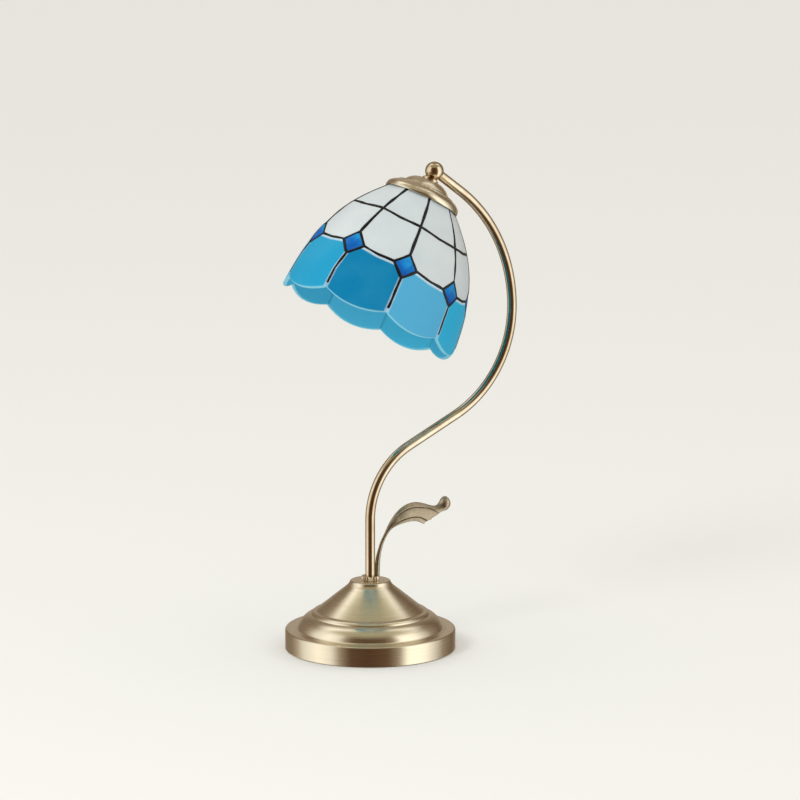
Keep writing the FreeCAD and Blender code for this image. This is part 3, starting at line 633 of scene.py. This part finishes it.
# how far the hand strayed at each crease: degrees round and mm down at the four levels
HAND_DRIFT = (
    ((0.0, -0.4, -1.6, 1.4), (0, 0.4, 0.2, 0)), ((-1.0, 0.6, -0.4, 0.3), (0, -0.8, 0.6, 0)),
    ((1.4, -0.5, 0.3, 0.2), (0, 1.0, -0.5, 0)), ((-0.6, 0.9, 0.6, -0.3), (0, 0.2, 0.9, 0)),
    ((0.9, -1.1, -0.5, 0.1), (0, -0.6, -0.4, 0)), ((-1.2, 0.4, 0.4, 0.4), (0, 1.5, 1.2, 0)),
    ((-3.0, 0.2, -1.0, -0.6), (0, 5.0, 4.2, 0)), ((-2.0, -0.4, 0.0, 0.1), (0, 2.4, 1.7, 0)),
    ((-5.0, -3.8, -1.6, 0.3), (0, 0.0, 0.0, 0)))


def crossing(crease):
    """Where the hand laid the lines beside a crease, as (angle, depth) at four levels."""
    turn, drift = crease_turn(crease), HAND_DRIFT[crease % SHADE["panels"]]
    levels = (SHADE[key] for key in ("cap_depth", "row_depth", "field_depth", "line_end"))
    return {name: (turn + aside, level + down) for name, level, aside, down
            in zip(("cap", "row", "gem", "rim"), levels, *drift)}


def gem_of(crease):
    """Top, left, bottom and right corners of a diamond, as (angle, depth)."""
    turn, middle = crossing(crease)["gem"]
    side = SHADE["diamond_width"] * 360 / SHADE["panels"]
    high = SHADE["diamond_height"]
    return ((turn, middle - high), (turn - side, middle), (turn, middle + high),
            (turn + side, middle))


def upright_of(crease):
    """The upright line beside a crease, from the cap over the diamond's corners to the rim."""
    mark, (top, _, low, _) = crossing(crease), gem_of(crease)
    bend = (mark["rim"][0], SHADE["line_bend"])
    return [mark["cap"], mark["row"], top, low, bend, mark["rim"]]


def edge_after(crease, sag=1.0):
    """The sagging line from one diamond to the next, where the blue begins."""
    right, far = gem_of(crease)[3], gem_of(crease + 1)[1]
    return [right, ((right[0] + far[0]) / 2, (right[1] + far[1]) / 2 + sag), far]


def along_route(route, value, axis):
    """The other coordinate of a route where its coordinate number axis has a value."""
    for before, after in zip(route, route[1:]):
        if value < after[axis] or after == route[-1]:
            share = (value - before[axis]) / (after[axis] - before[axis])
            share = min(1.0, max(0.0, share))
            return before[1 - axis] + (after[1 - axis] - before[1 - axis]) * share


def pattern_place(turn, depth):
    """A point in the painted pattern: panels round from the first, how far out from a diamond's
    middle (1 on its border) and mm below the blue's edge."""
    def upright(crease):
        return along_route(upright_of(crease), depth, 1)

    panel = panel_at(turn, upright)
    left, right = upright(panel - 1), upright(panel)
    spread = []
    for crease in (panel - 1, panel):
        (middle, top), (side, level) = gem_of(crease)[:2]
        spread.append(abs(turn - middle) / (middle - side) + abs(depth - level) / (level - top))
    below = depth - along_route(edge_after(panel - 1), turn, 0)
    return panel + (turn - left) / (right - left), min(spread), below


# --- sizes and colours -----------------------------------------------------------------------

class LampFinish(bpy.types.PropertyGroup):
    brass: StringProperty(name="Brass, light", description="Light tone of the aged plate",
                          default="D9CDB2")
    brass_mid: StringProperty(name="Brass, middle", description="Middle tone of polished plate",
                              default="BCA785")
    leaf_light: StringProperty(name="Leaf, light", description="Rubbed tone of the casting",
                               default="BFB299")
    leaf_dark: StringProperty(name="Leaf, dark", description="Tone in the casting's hollows",
                              default="94866E")
    vein: StringProperty(name="Veins", description="Brown left in the leaf's veins",
                         default="3B2C1D")
    white: StringProperty(name="White glass", description="White of the shade's upper fields",
                          default="DCE2E4")
    rim_colour: StringProperty(name="Rim", description="Thin paint on the shade's rim",
                               default="8CC4D2")
    gem: StringProperty(name="Diamonds", description="Deep blue of the diamonds",
                        default="053F98")


class LampSizes(bpy.types.PropertyGroup):
    line_width: FloatProperty(name="Line width", description="Width of the painted lines",
                              default=2.6 * MM, unit="LENGTH")
    line_relief: FloatProperty(name="Line relief", description="Height of the painted lines",
                               default=0.35 * MM, unit="LENGTH")
    thread_pitch: FloatProperty(name="Thread pitch", description="Pitch of the lamp's thread",
                                default=3.63 * MM, unit="LENGTH")
    floor_size: FloatProperty(name="Floor", description="Width of the studio floor",
                              default=30.0, unit="LENGTH")
    camera_place: FloatVectorProperty(name="Camera", description="Where the camera stands",
                                      default=(-1.459, -2.519, 0.726), subtype="TRANSLATION")
    camera_aim: FloatVectorProperty(name="Aim", description="What the camera looks at",
                                    default=(0.0211, -0.0122, 0.206), subtype="TRANSLATION")
    lens: FloatProperty(name="Lens", description="Focal length of the camera in mm",
                        default=163.9, subtype="NONE")


def finish_of(context):
    return context.scene.lamp_finish


def sizes_of(context):
    return context.scene.lamp_sizes


def dress(piece, body, slot, *materials, replaces=()):
    """Give a finished piece its materials and its body, and hide the CAD pieces that it replaces; its slot is not
    used.
    """
    piece.data.materials.clear()
    for material in materials:
        piece.data.materials.append(material)
    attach(piece, body)
    if replaces:
        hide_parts(*replaces)
    return piece


# --- operators -------------------------------------------------------------------------------

class LAMP_OT_stock(bpy.types.Operator):
    """Give every piece that keeps its CAD shape the finish of its slot"""
    bl_idname = "lamp.stock"
    bl_label = "Finish CAD pieces"

    def execute(self, context):
        finishes = stock(finish_of(context))
        for part in frame["record"]["subparts"]:
            if part["material_slot"] in finishes:
                piece = frame["nodes"][part["node"]]
                piece.data.materials.clear()
                piece.data.materials.append(finishes[part["material_slot"]])
        return {"FINISHED"}


class LAMP_OT_base(bpy.types.Operator):
    """Spin the stepped cover of the base and its beads"""
    bl_idname = "lamp.base"
    bl_label = "Base cover"

    def execute(self, context):
        outside = [(69.9, 0.6), (69.9, 15.1)]
        outside += arc(outside[-1], (68.3, 16.65), 1.6, 1, 6)
        outside += [(64.0, 16.6), (60.2, 16.6), (59.5, 16.8), (59.0, 17.3)]
        outside += arc(outside[-1], (49.0, 28.35), 14.5, 1, 14)
        outside += [(48.7, 28.35)]
        outside += arc(outside[-1], (46.2, 31.0), 4.2, 1, 6)
        outside += [(45.9, 31.0)]
        outside += arc(outside[-1], (16.7, 55.2), 62.0, -1, 20)
        outside += arc(outside[-1], (15.3, 56.5), 1.3, 1, 5)
        inside = [(5.05, 56.5), (5.05, 55.5), (15.0, 55.3), (45.9, 30.2), (47.6, 27.6),
                  (57.8, 15.5), (67.9, 15.5), (68.7, 14.8), (68.7, 0.6)]
        piece = spun("base_cover", outside + inside, 160)
        dress(piece, "stand", "spun_brass", spun_brass(finish_of(context)),
              replaces=("base_shell",))
        return {"FINISHED"}


class LAMP_OT_cap(bpy.types.Operator):
    """Spin the cap over the shade, with its dome, step and bead"""
    bl_idname = "lamp.cap"
    bl_label = "Head cap"

    def execute(self, context):
        outline = [(4.05, 9.0), (7.8, 9.0)]
        outline += arc(outline[-1], (19.5, 16.1), 15.0, 1, 12)
        outline += [(20.6, 16.4), (22.6, 17.0)]
        outline += arc(outline[-1], (24.4, 18.0), 1.5, 1, 5)
        outline += arc(outline[-1], (30.9, 22.4), 13.0, 1, 8)
        outline += [(31.4, 24.2), (31.7, 25.8)]
        outline += arc(outline[-1], (31.0, 26.3), 0.5, 1, 4)
        outline += [(30.9, 24.6), (30.1, 22.7), (23.8, 18.9), (18.8, 17.3), (7.8, 9.9),
                    (4.05, 9.9)]
        piece = spun("head_cap", outline, 128, HEAD)
        dress(piece, "head", "spun_brass", bpy.data.materials["antique_brass_lathe_brushed"],
              replaces=("holder_cap",))
        return {"FINISHED"}


class LAMP_OT_shade(bpy.types.Operator):
    """Mould the nine-panel shade with its scalloped rim"""
    bl_idname = "lamp.shade"
    bl_label = "Glass shade"

    across: IntProperty(name="Steps across a panel", default=22, min=8, max=40)
    down: IntProperty(name="Steps down", default=60, min=20, max=100)

    def execute(self, context):
        count, top, crown = SHADE["panels"], SHADE["top"], SHADE["crown"]

        def turn_at(u):
            panel = min(math.floor(u * count + 0.0001), count - 1)
            first, last = crease_turn(panel - 1), crease_turn(panel)
            return first + (last - first) * (u * count - panel)

        def depth_at(turn, v):
            """Depth down the wall; the first rows, the crown, stay at the top."""
            return top + (rim_depth(turn) - top) * max(0.0, (v - crown) / (1 - crown))

        def place(u, v):
            turn = turn_at(u)
            if v >= crown:
                return shade_point(turn, depth_at(turn, v))
            radius = SHADE["mouth"] + (shade_radius(turn, top) - SHADE["mouth"]) * v / crown
            return HEAD @ (Vector((radius * math.cos(math.radians(turn)),
                                   radius * math.sin(math.radians(turn)), top)) * MM)

        def pattern(u, v):
            turn = turn_at(u)
            depth = depth_at(turn, v)
            panel, spread, below = pattern_place(turn, depth)
            return {"shade": (panel / count, depth / DEPTH_UNIT),
                    "paint": (spread, below / DEPTH_UNIT)}

        piece = mapped_grid("shade_glass", self.across * count, self.down, place, pattern)
        piece.data.materials.append(painted_glass(finish_of(context)))
        piece.data.materials.append(painted_glass(finish_of(context), inner=True))
        settle(piece, angle=60)
        face_out(piece, HEAD @ Vector((0, 0, 0.09)))
        # the wall's thickness, its inside in the second material, then the fused lip
        apply_modifier(piece, "SOLIDIFY", thickness=SHADE["wall"] * MM, offset=-1.0,
                       use_even_offset=False, material_offset=1, material_offset_rim=1)
        apply_modifier(piece, "BEVEL", width=0.9 * MM, segments=3, limit_method="ANGLE",
                       angle_limit=math.radians(62))
        only(piece)
        bpy.ops.object.shade_smooth_by_angle(angle=math.radians(50))
        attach(piece, "shade")
        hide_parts("glass_shade")
        return {"FINISHED"}


class LAMP_OT_lines(bpy.types.Operator):
    """Lay the black relief lines of paint along the panels and round the diamonds"""
    bl_idname = "lamp.lines"
    bl_label = "Painted lines"

    def execute(self, context):
        sizes = sizes_of(context)
        width, relief = sizes.line_width / MM, sizes.line_relief / MM
        strips, edgings = [], []
        for place in range(SHADE["panels"]):
            upright, (top, left, low, right) = upright_of(place), gem_of(place)
            row, next_row = crossing(place)["row"], crossing(place + 1)["row"]
            sag = ((row[0] + next_row[0]) / 2, (row[1] + next_row[1]) / 2 + 0.8)
            # each line with its share of the full width; long ones have a white edge
            routes = [
                (upright[:3], 1.1), (upright[3:], 1.0), ([top, left], 0.85), ([left, low], 0.95),
                ([low, right], 1.1), ([right, top], 0.9), ([row, sag, next_row], 0.95),
                (edge_after(place), 0.95)]
            for count, (route, share) in enumerate(routes):
                seed = place * 11 + count
                strips.append(self.strip("line_%d" % seed, route, width * share, relief, seed))
                if len(route) > 2:
                    edgings.append(self.strip("edging_%d" % seed, route, width * share + 0.9,
                                              0.05, seed))
        for name, ridges, paint in (("painted_lines", strips, line_paint()),
                                    ("line_edging", edgings, edging_paint())):
            piece = join(name, ridges)
            settle(piece, angle=60, merge=0.000001)
            dress(piece, "shade", "painted_glass", paint)
        return {"FINISHED"}

    @staticmethod
    def strip(name, route, width, relief, seed):
        """One uneven line of paint: a low ridge whose edges run into the glass."""
        lengths = [0.0]
        for before, after in zip(route, route[1:]):
            lengths.append(lengths[-1] + (shade_point(*after) - shade_point(*before)).length / MM)
        total = lengths[-1]

        def along(share):
            """Angle and depth on the route at a share of its length."""
            distance = share * total
            for count in range(len(route) - 1):
                if distance <= lengths[count + 1] or count == len(route) - 2:
                    part = (distance - lengths[count]) / (lengths[count + 1] - lengths[count])
                    (first_turn, first_depth), (last_turn, last_depth) = route[count:count + 2]
                    return (first_turn + (last_turn - first_turn) * part,
                            first_depth + (last_depth - first_depth) * part)

        def place(u, v):
            turn, depth = along(v)
            # the hand's pressure changes every 9 mm or so, its course every 22 mm
            press = noise.noise(Vector((seed * 7.1, v * total / 9.0, 0)))
            course = noise.noise(Vector((seed * 3.7, v * total / 22.0, 5.0))) * 0.5
            radius = shade_radius(turn, depth)
            ahead_turn, ahead_depth = along(min(1.0, v + 0.01))
            back_turn, back_depth = along(max(0.0, v - 0.01))
            run = Vector((math.radians(ahead_turn - back_turn) * radius,
                          ahead_depth - back_depth)).normalized()
            offset = ((u - 0.5) * width * (1 + 0.35 * press)
                      + course * min(1.0, 6 * v, 6 * (1 - v)) * 0.6)
            turn += math.degrees(-run.y * offset / radius)
            depth += run.x * offset
            edge = 1 - (2 * u - 1) ** 2
            return shade_point(turn, depth, LINE_ROOT + (relief - LINE_ROOT) * edge ** 0.5)

        return mapped_grid(name, 6, max(6, int(total / LINE_STEP)), place)


# upper edge and lower edge of the leaf in the arm's plane, (x, z) each in mm, root to tip
LEAF_EDGES = (
    (4.5, 59.1, 8.6, 58.9), (5.0, 71.1, 9.2, 71.6), (6.8, 79.0, 10.6, 79.4),
    (9.5, 86.7, 12.9, 86.3), (12.9, 93.0, 15.9, 91.9), (16.7, 100.0, 19.7, 96.3),
    (20.5, 105.6, 24.3, 98.5), (24.3, 109.9, 28.9, 99.7), (28.9, 113.4, 34.2, 100.5),
    (34.2, 115.9, 40.3, 100.8), (40.3, 117.0, 46.5, 99.6), (46.5, 116.4, 50.6, 98.4),
    (52.6, 114.5, 54.6, 100.4), (57.2, 112.8, 59.8, 102.2), (61.4, 112.0, 64.9, 104.5),
    (63.7, 112.8, 68.0, 106.0), (65.7, 114.9, 71.4, 106.7), (67.4, 117.4, 74.4, 108.0),
    (69.6, 118.8, 76.3, 110.3), (72.0, 118.8, 76.6, 112.8), (74.2, 117.2, 75.6, 115.4))
# place of each vein across the leaf, 0 at the upper edge and 1 at the lower, by station
LEAF_VEINS = (
    ((5.4, 0.46), (6.5, 0.36), (8.0, 0.30), (10.0, 0.28), (12.0, 0.29), (13.0, 0.44),
     (14.0, 0.98)),
    ((5.0, 0.84), (6.0, 0.80), (8.0, 0.80), (10.0, 0.79), (11.0, 0.83), (11.8, 1.0)))


# stations along the leaf: where the blade has opened from its stalk, where its tip starts to
# curl and is full, and where its lower edge is toothed
BLADE_OPENS, BLADE_OPEN = 3.0, 7.0
CURL_STARTS, CURL_FULL = 14.2, 16.8
TEETH_START, TEETH_END, TOOTH_STEP = 9.6, 13.4, 1.5
# mm that a tooth stands out and a vein lies deep, a vein's half width across the leaf, and the way
# the leaf's upper edge leans out of the arm's plane
TOOTH_LENGTH, VEIN_DEPTH, VEIN_WIDTH = 1.1, 0.55, 0.028
LEAN_WAY = Vector((0.50, 0.84, -0.21))


def share_of(value, first, last):
    """How far a value has gone from first to last, from 0 to 1."""
    return min(1.0, max(0.0, (value - first) / (last - first)))


class LAMP_OT_collar(bpy.types.Operator):
    """Knurl the collar that holds the tube on the base"""
    bl_idname = "lamp.collar"
    bl_label = "Foot collar"

    ribs: IntProperty(name="Ribs", default=20, min=8, max=60)

    def execute(self, context):
        outline = [(4.1, 56.7), (7.2, 56.7), (7.5, 57.0), (7.5, 58.0), (7.5, 59.2), (6.9, 60.1),
                   (6.2, 60.35), (4.1, 60.35)]

        def rib(turn, radius, height):
            """Knurling, 0.8 mm deep, on the widest part alone."""
            return -0.4 * (1 - math.cos(self.ribs * turn)) if radius > 7.4 else 0.0

        piece = rippled("knurled_collar", outline, self.ribs * 8, rib)
        dress(piece, "stand", "drawn_brass", bpy.data.materials["antique_brass_polished"],
              replaces=("foot_collar",))
        return {"FINISHED"}


class LAMP_OT_leaf(bpy.types.Operator):
    """Sculpt the cast leaf with its veins, stepped edge and curled tip"""
    bl_idname = "lamp.leaf"
    bl_label = "Cast leaf"

    across: IntProperty(name="Steps round", default=128, min=32, max=256)
    along: IntProperty(name="Steps along", default=180, min=40, max=300)

    def execute(self, context):
        last = len(LEAF_EDGES) - 1
        edges = [natural_spline([(count, station[axis]) for count, station
                                 in enumerate(LEAF_EDGES)]) for axis in range(4)]
        veins = [(natural_spline(places), places[0][0], places[-1][0]) for places in LEAF_VEINS]

        def section(station):
            """Upper and lower edge of the leaf at a station."""
            upper_x, upper_z, lower_x, lower_z = (edge(station) for edge in edges)
            upper, lower = Vector((upper_x, 0, upper_z)), Vector((lower_x, 0, lower_z))
            lean = 0.5 * min(1.0, station / BLADE_OPEN) * (upper - lower).length / 2
            return upper + LEAN_WAY * lean, lower - LEAN_WAY * lean

        def vein_at(station, share):
            """How deep the veins lie at a share of the way across, from 0 to 1."""
            depth = 0.0
            for curve, first, end in veins:
                if first < station < end:
                    fade = min(1.0, (station - first) * 1.2, (end - station) * 4 + 0.4)
                    depth += fade * math.exp(-((share - curve(station)) / VEIN_WIDTH) ** 2)
            return min(1.0, depth)

        def place(u, v):
            station = v * last
            upper, lower = section(station)
            before, after = section(max(0, station - 0.2)), section(min(last, station + 0.2))
            ahead = (sum(after, Vector()) - sum(before, Vector())).normalized()
            wide = (upper - lower) / 2
            out = wide.cross(ahead).normalized()
            if out.y > 0:
                out.negate()
            # cross goes from 1 on the upper edge to -1 on the lower, depth from front to back
            cross, depth = math.cos(u * math.tau), math.sin(u * math.tau)
            half = wide.length
            blade = share_of(station, BLADE_OPENS, BLADE_OPEN)
            curl = share_of(station, CURL_STARTS, CURL_FULL)
            # nearly round at the stalk and in the curl, and an arched thin blade between
            thick = half * 0.9 * (1 - blade) + 0.8 * blade + curl * (0.72 * half - 0.3)
            power = 0.55 + 0.45 * max(1 - blade, curl)
            arch = 1.9 * blade * (1 - curl) * (1 - ((cross + 0.25) / 1.25) ** 2)
            groove = vein_at(station, (1 - cross) / 2) if depth > 0 else 0.0
            tooth = 0.0
            if TEETH_START < station < TEETH_END:
                reach = share_of(-cross, 0.4, 1.0) * min(1.0, (TEETH_END - station) / 0.8)
                tooth = TOOTH_LENGTH * ((station - TEETH_START) / TOOTH_STEP % 1.0) * reach
            return ((upper + lower) / 2 + wide * cross * (1 + tooth / max(half, 1.0))
                    + out * (math.copysign(abs(depth) ** power, depth) * thick + arch
                             - VEIN_DEPTH * groove)) * MM

        def veined(u, v):
            front = math.sin(u * math.tau) > 0
            depth = vein_at(v * last, (1 - math.cos(u * math.tau)) / 2) if front else 0.0
            return {"veins": (depth, v)}

        piece = mapped_grid("leaf_casting", self.across, self.along, place, veined)
        close_ends(piece)
        settle(piece, angle=70)
        dress(piece, "stand", "cast_leaf", cast_leaf_finish(finish_of(context)),
              replaces=("leaf",))
        return {"FINISHED"}


# the tube in mm: its radius, the height of its lower end, the step between its points, and its
# route as the length of a run, or the radius and turn in degrees of a bend
TUBE_RADIUS, TUBE_FOOT, TUBE_STEP = 3.98, 30.0, 1.5
TUBE_ROUTE = ((76.4,), (64.6, -64.16), (50.3,), (95.9, 64.16), (121.9, 54.08), (26.5,))


class LAMP_OT_tube(bpy.types.Operator):
    """Draw the swan-neck tube along its runs and bends"""
    bl_idname = "lamp.tube"
    bl_label = "Arm tube"

    def execute(self, context):
        spot, heading, spots = Vector((0, TUBE_FOOT)), math.pi / 2, []
        for leg in TUBE_ROUTE:
            turn = math.radians(leg[1]) if len(leg) == 2 else 0.0
            length = abs(leg[0] * turn) if turn else leg[0]
            steps = max(2, round(length / TUBE_STEP))
            for count in range(steps):
                spots.append((spot.copy(), heading))
                heading += turn / steps / 2
                chord = 2 * leg[0] * math.sin(abs(turn) / steps / 2) if turn else length / steps
                spot += Vector((math.cos(heading), math.sin(heading))) * chord
                heading += turn / steps / 2
        spots.append((spot.copy(), heading))
        last = len(spots) - 1

        def place(u, v):
            centre, way = spots[round(v * last)]
            out = TUBE_RADIUS * math.cos(u * math.tau)
            return Vector((centre.x - out * math.sin(way), TUBE_RADIUS * math.sin(u * math.tau),
                           centre.y + out * math.cos(way))) * MM

        piece = mapped_grid("swan_neck", 40, last, place)
        close_ends(piece)
        settle(piece, angle=60)
        dress(piece, "stand", "drawn_brass",
              bpy.data.materials["antique_brass_polished"], replaces=("arm_tube",))
        return {"FINISHED"}


class LAMP_OT_lamp(bpy.types.Operator):
    """Blow the opal globe and roll the lamp's threaded cap"""
    bl_idname = "lamp.lamp"
    bl_label = "Lamp"

    def execute(self, context):
        middle, radius, wall = 88.0, 22.4, 1.0
        globe = [(13.1, 57.2), (13.4, 60.0), (14.6, 64.0)]
        globe += arc(globe[-1], (20.6, 79.2), 40.0, -1, 8)
        start = math.asin((79.2 - middle) / radius)
        globe += [(radius * math.cos(start + (math.pi / 2 - start) * step / 24),
                   middle + radius * math.sin(start + (math.pi / 2 - start) * step / 24))
                  for step in range(1, 24)]
        globe += [(0.0, middle + radius), (0.0, middle + radius - wall), (10.0, 106.0),
                  (21.0, middle), (12.2, 60.0), (12.0, 57.2)]
        piece = spun("lamp_globe", globe, 72, HEAD)
        dress(piece, "lamp", "opal_glass", bpy.data.materials["opal_coated_glass"],
              replaces=("bulb_globe",))
        # the cap's rolled thread fades out over 1.5 mm at both of its ends
        pitch, crest, root, wall = sizes_of(context).thread_pitch / MM, 13.2, 12.3, 0.35
        first, last, rows = 38.6, 54.5, 72

        def thread(turn, radius, height):
            """Rolled thread, outside and inside of the thin cap alike."""
            fade = min(1.0, max(0.0, min(height - first, last - height)) / 1.5)
            wave = math.cos(math.tau * height / pitch - turn)
            return (root - crest) / 2 * (1 + wave) * fade if radius > 12.0 else 0.0

        levels = [first + (last - first) * row / rows for row in range(rows + 1)]
        cap = [(root, 37.1), (crest - 0.4, 37.6), (crest, 38.2)]
        cap += [(crest, level) for level in levels] + [(crest, 56.9), (crest - wall, 56.9)]
        cap += [(crest - wall, level) for level in reversed(levels)]
        cap += [(crest - wall, 38.4), (11.9, 37.5)]
        piece = rippled("lamp_cap", cap, 72, thread, HEAD)
        dress(piece, "lamp", "lamp_nickel", bpy.data.materials["nickel_plated_brass"],
              replaces=("bulb_screw_cap",))
        return {"FINISHED"}


class LAMP_OT_ring(bpy.types.Operator):
    """Mould the ribbed ring that clamps the shade"""
    bl_idname = "lamp.ring"
    bl_label = "Shade ring"

    ribs: IntProperty(name="Ribs", default=36, min=12, max=60)

    def execute(self, context):
        outline = [(19.7, 27.65), (26.0, 27.65), (26.3, 28.0), (26.3, 29.2), (26.0, 29.55),
                   (24.4, 29.6), (24.0, 30.0), (24.0, 31.5), (24.0, 33.4), (23.6, 33.9),
                   (20.0, 33.95), (19.65, 33.6)]

        def rib(turn, radius, height):
            """Grip ribs, 0.7 mm deep, on the ring's skirt alone."""
            return -0.35 * (1 - math.cos(self.ribs * turn)) if 23.9 < radius < 24.1 else 0.0

        piece = rippled("ribbed_ring", outline, self.ribs * 8, rib, HEAD)
        dress(piece, "ring", "holder_black", bpy.data.materials["moulded_phenolic"],
              replaces=("shade_ring",))
        return {"FINISHED"}


# what stands round the lamp in a light tent, from behind it on the left, past the camera in the
# middle, to behind it on the right: pale paper, soft boxes and warm dark openings between them
TENT = ((0.000, "8E8478"), (0.069, "6A5D50"), (0.139, "75685B"), (0.180, "9A9084"),
        (0.215, "CACACA"), (0.292, "F0F0F0"), (0.347, "DADADA"), (0.383, "85796D"),
        (0.422, "4C3828"), (0.500, "452F20"), (0.569, "523E2E"), (0.612, "85796D"),
        (0.645, "FFFFFF"), (0.715, "F8F8F8"), (0.765, "C6C6C6"), (0.820, "7E7368"),
        (0.900, "5A4A3C"), (1.000, "8E8478"))
# the same overhead, where two strips of light run back over the lamp
TENT_TOP = ((0.000, "887D70"), (0.090, "887D70"), (0.130, "F0F0F0"), (0.200, "FFFFFF"),
            (0.235, "96927F"), (0.765, "96927F"), (0.800, "EEEEEE"), (0.850, "EEEEEE"),
            (0.890, "887D70"), (1.000, "887D70"))
# strength of the tent in what is polished, and of the paper's own light on all else
TENT_LEVEL = 1.75
PAPER_LEVEL = 0.99
# soft boxes: name, place, side in m and power in W, all turned to the lamp's middle
SOFT_BOXES = (("key_left", (-2.6, -1.0, 2.0), 1.0, 26), ("fill_right", (2.4, -4.6, 3.0), 1.6, 8))
LAMP_MIDDLE = Vector((0, 0, 0.2))


def studio_world(camera_place):
    """Even pale light, with the tent's soft boxes showing only in what is polished."""
    world = bpy.data.worlds.new("studio")
    world.use_nodes = True
    tree = world.node_tree
    background = tree.nodes["Background"]
    way = Vector(camera_place).to_2d().normalized()
    direction = add(tree, "ShaderNodeTexCoord").outputs["Generated"]
    toward = add(tree, "ShaderNodeVectorMath", {0: direction, 1: (way.x, way.y, 0.0)},
                 operation="DOT_PRODUCT")
    aside = add(tree, "ShaderNodeVectorMath", {0: direction, 1: (-way.y, way.x, 0.0)},
                operation="DOT_PRODUCT")
    turn = maths(tree, "ARCTAN2", aside.outputs["Value"], toward.outputs["Value"])
    share = maths(tree, "MULTIPLY_ADD", turn, 1 / math.tau, 0.5)
    height = add(tree, "ShaderNodeSeparateXYZ", {"Vector": direction}).outputs["Z"]
    tent = mixed(tree, ranged(tree, height, 0.58, 0.85, kind="SMOOTHSTEP"),
                 ramp(tree, share, TENT), ramp(tree, share, TENT_TOP))
    bright = add(tree, "ShaderNodeVectorMath", {0: tent, "Scale": TENT_LEVEL},
                 operation="SCALE")
    paper = [part * PAPER_LEVEL for part in linear("F4F2EC")[:3]] + [1]
    seen = mixed(tree, add(tree, "ShaderNodeLightPath").outputs["Is Glossy Ray"], paper,
                 bright.outputs["Vector"])
    tree.links.new(seen, background.inputs["Color"])
    return world


def look_at(item, place, aim):
    """Stand a light or a camera at a place and turn it to its aim."""
    item.location = place
    item.rotation_euler = (Vector(aim) - Vector(place)).to_track_quat("-Z", "Y").to_euler()


class LAMP_OT_stage(bpy.types.Operator):
    """Lay the pale studio floor, hang the soft lights and stand the camera"""
    bl_idname = "lamp.stage"
    bl_label = "Studio"

    def execute(self, context):
        sizes = sizes_of(context)
        deselect()
        # the floor lies a hair below the felt, so that the two don't share a plane
        bpy.ops.mesh.primitive_plane_add(size=sizes.floor_size, location=(0, 0, -0.1 * MM))
        floor = context.object
        floor.name = "floor"
        # matt studio paper with a fine fibre
        material, tree, principled = new_material("studio_paper", Roughness=0.9,
                                                  Specular_IOR_Level=0.1)
        fibre = mottled(tree, add(tree, "ShaderNodeTexCoord").outputs["Object"], 900.0)
        link_finish(tree, principled, ramp(tree, fibre, [(0.3, "F1F1EF"), (0.7, "F3F3F1")]))
        floor.data.materials.append(material)
        floor.visible_glossy = False
        for name, spot, side, power in SOFT_BOXES:
            light = bpy.data.lights.new(name, "AREA")
            light.shape, light.size, light.size_y, light.energy = "RECTANGLE", side, side, power
            box = bpy.data.objects.new(name, light)
            context.scene.collection.objects.link(box)
            box.visible_glossy = False
            look_at(box, spot, LAMP_MIDDLE)
        context.scene.world = studio_world(sizes.camera_place)
        context.scene.view_settings.view_transform = "Standard"
        camera = bpy.data.cameras.new("main_camera")
        camera.lens, camera.sensor_width, camera.clip_end = sizes.lens, 36.0, 50.0
        stand = bpy.data.objects.new("main_camera", camera)
        context.scene.collection.objects.link(stand)
        look_at(stand, sizes.camera_place, sizes.camera_aim)
        context.scene.camera = stand
        return {"FINISHED"}


class LAMP_PT_panel(bpy.types.Panel):
    bl_idname = "LAMP_PT_panel"
    bl_label = "Table Lamp"
    bl_space_type = "VIEW_3D"
    bl_region_type = "UI"
    bl_category = "Table Lamp"

    def draw(self, context):
        for group in (sizes_of(context), finish_of(context)):
            for name in group.__annotations__:
                self.layout.prop(group, name)
        for operator in OPERATORS:
            self.layout.operator(operator.bl_idname)


OPERATORS = (LAMP_OT_stage, LAMP_OT_stock, LAMP_OT_base, LAMP_OT_cap, LAMP_OT_shade,
             LAMP_OT_lines, LAMP_OT_tube, LAMP_OT_collar, LAMP_OT_leaf, LAMP_OT_lamp,
             LAMP_OT_ring)
CLASSES = (LampFinish, LampSizes, *OPERATORS, LAMP_PT_panel)


def register():
    for item in CLASSES:
        bpy.utils.register_class(item)
    bpy.types.Scene.lamp_finish = PointerProperty(type=LampFinish)
    bpy.types.Scene.lamp_sizes = PointerProperty(type=LampSizes)


def unregister():
    del bpy.types.Scene.lamp_sizes
    del bpy.types.Scene.lamp_finish
    for item in reversed(CLASSES):
        bpy.utils.unregister_class(item)


def main():
    register()
    for operator in OPERATORS:
        getattr(bpy.ops.lamp, operator.bl_idname.split(".")[1])()
    deselect()


if __name__ == "__main__":
    main()
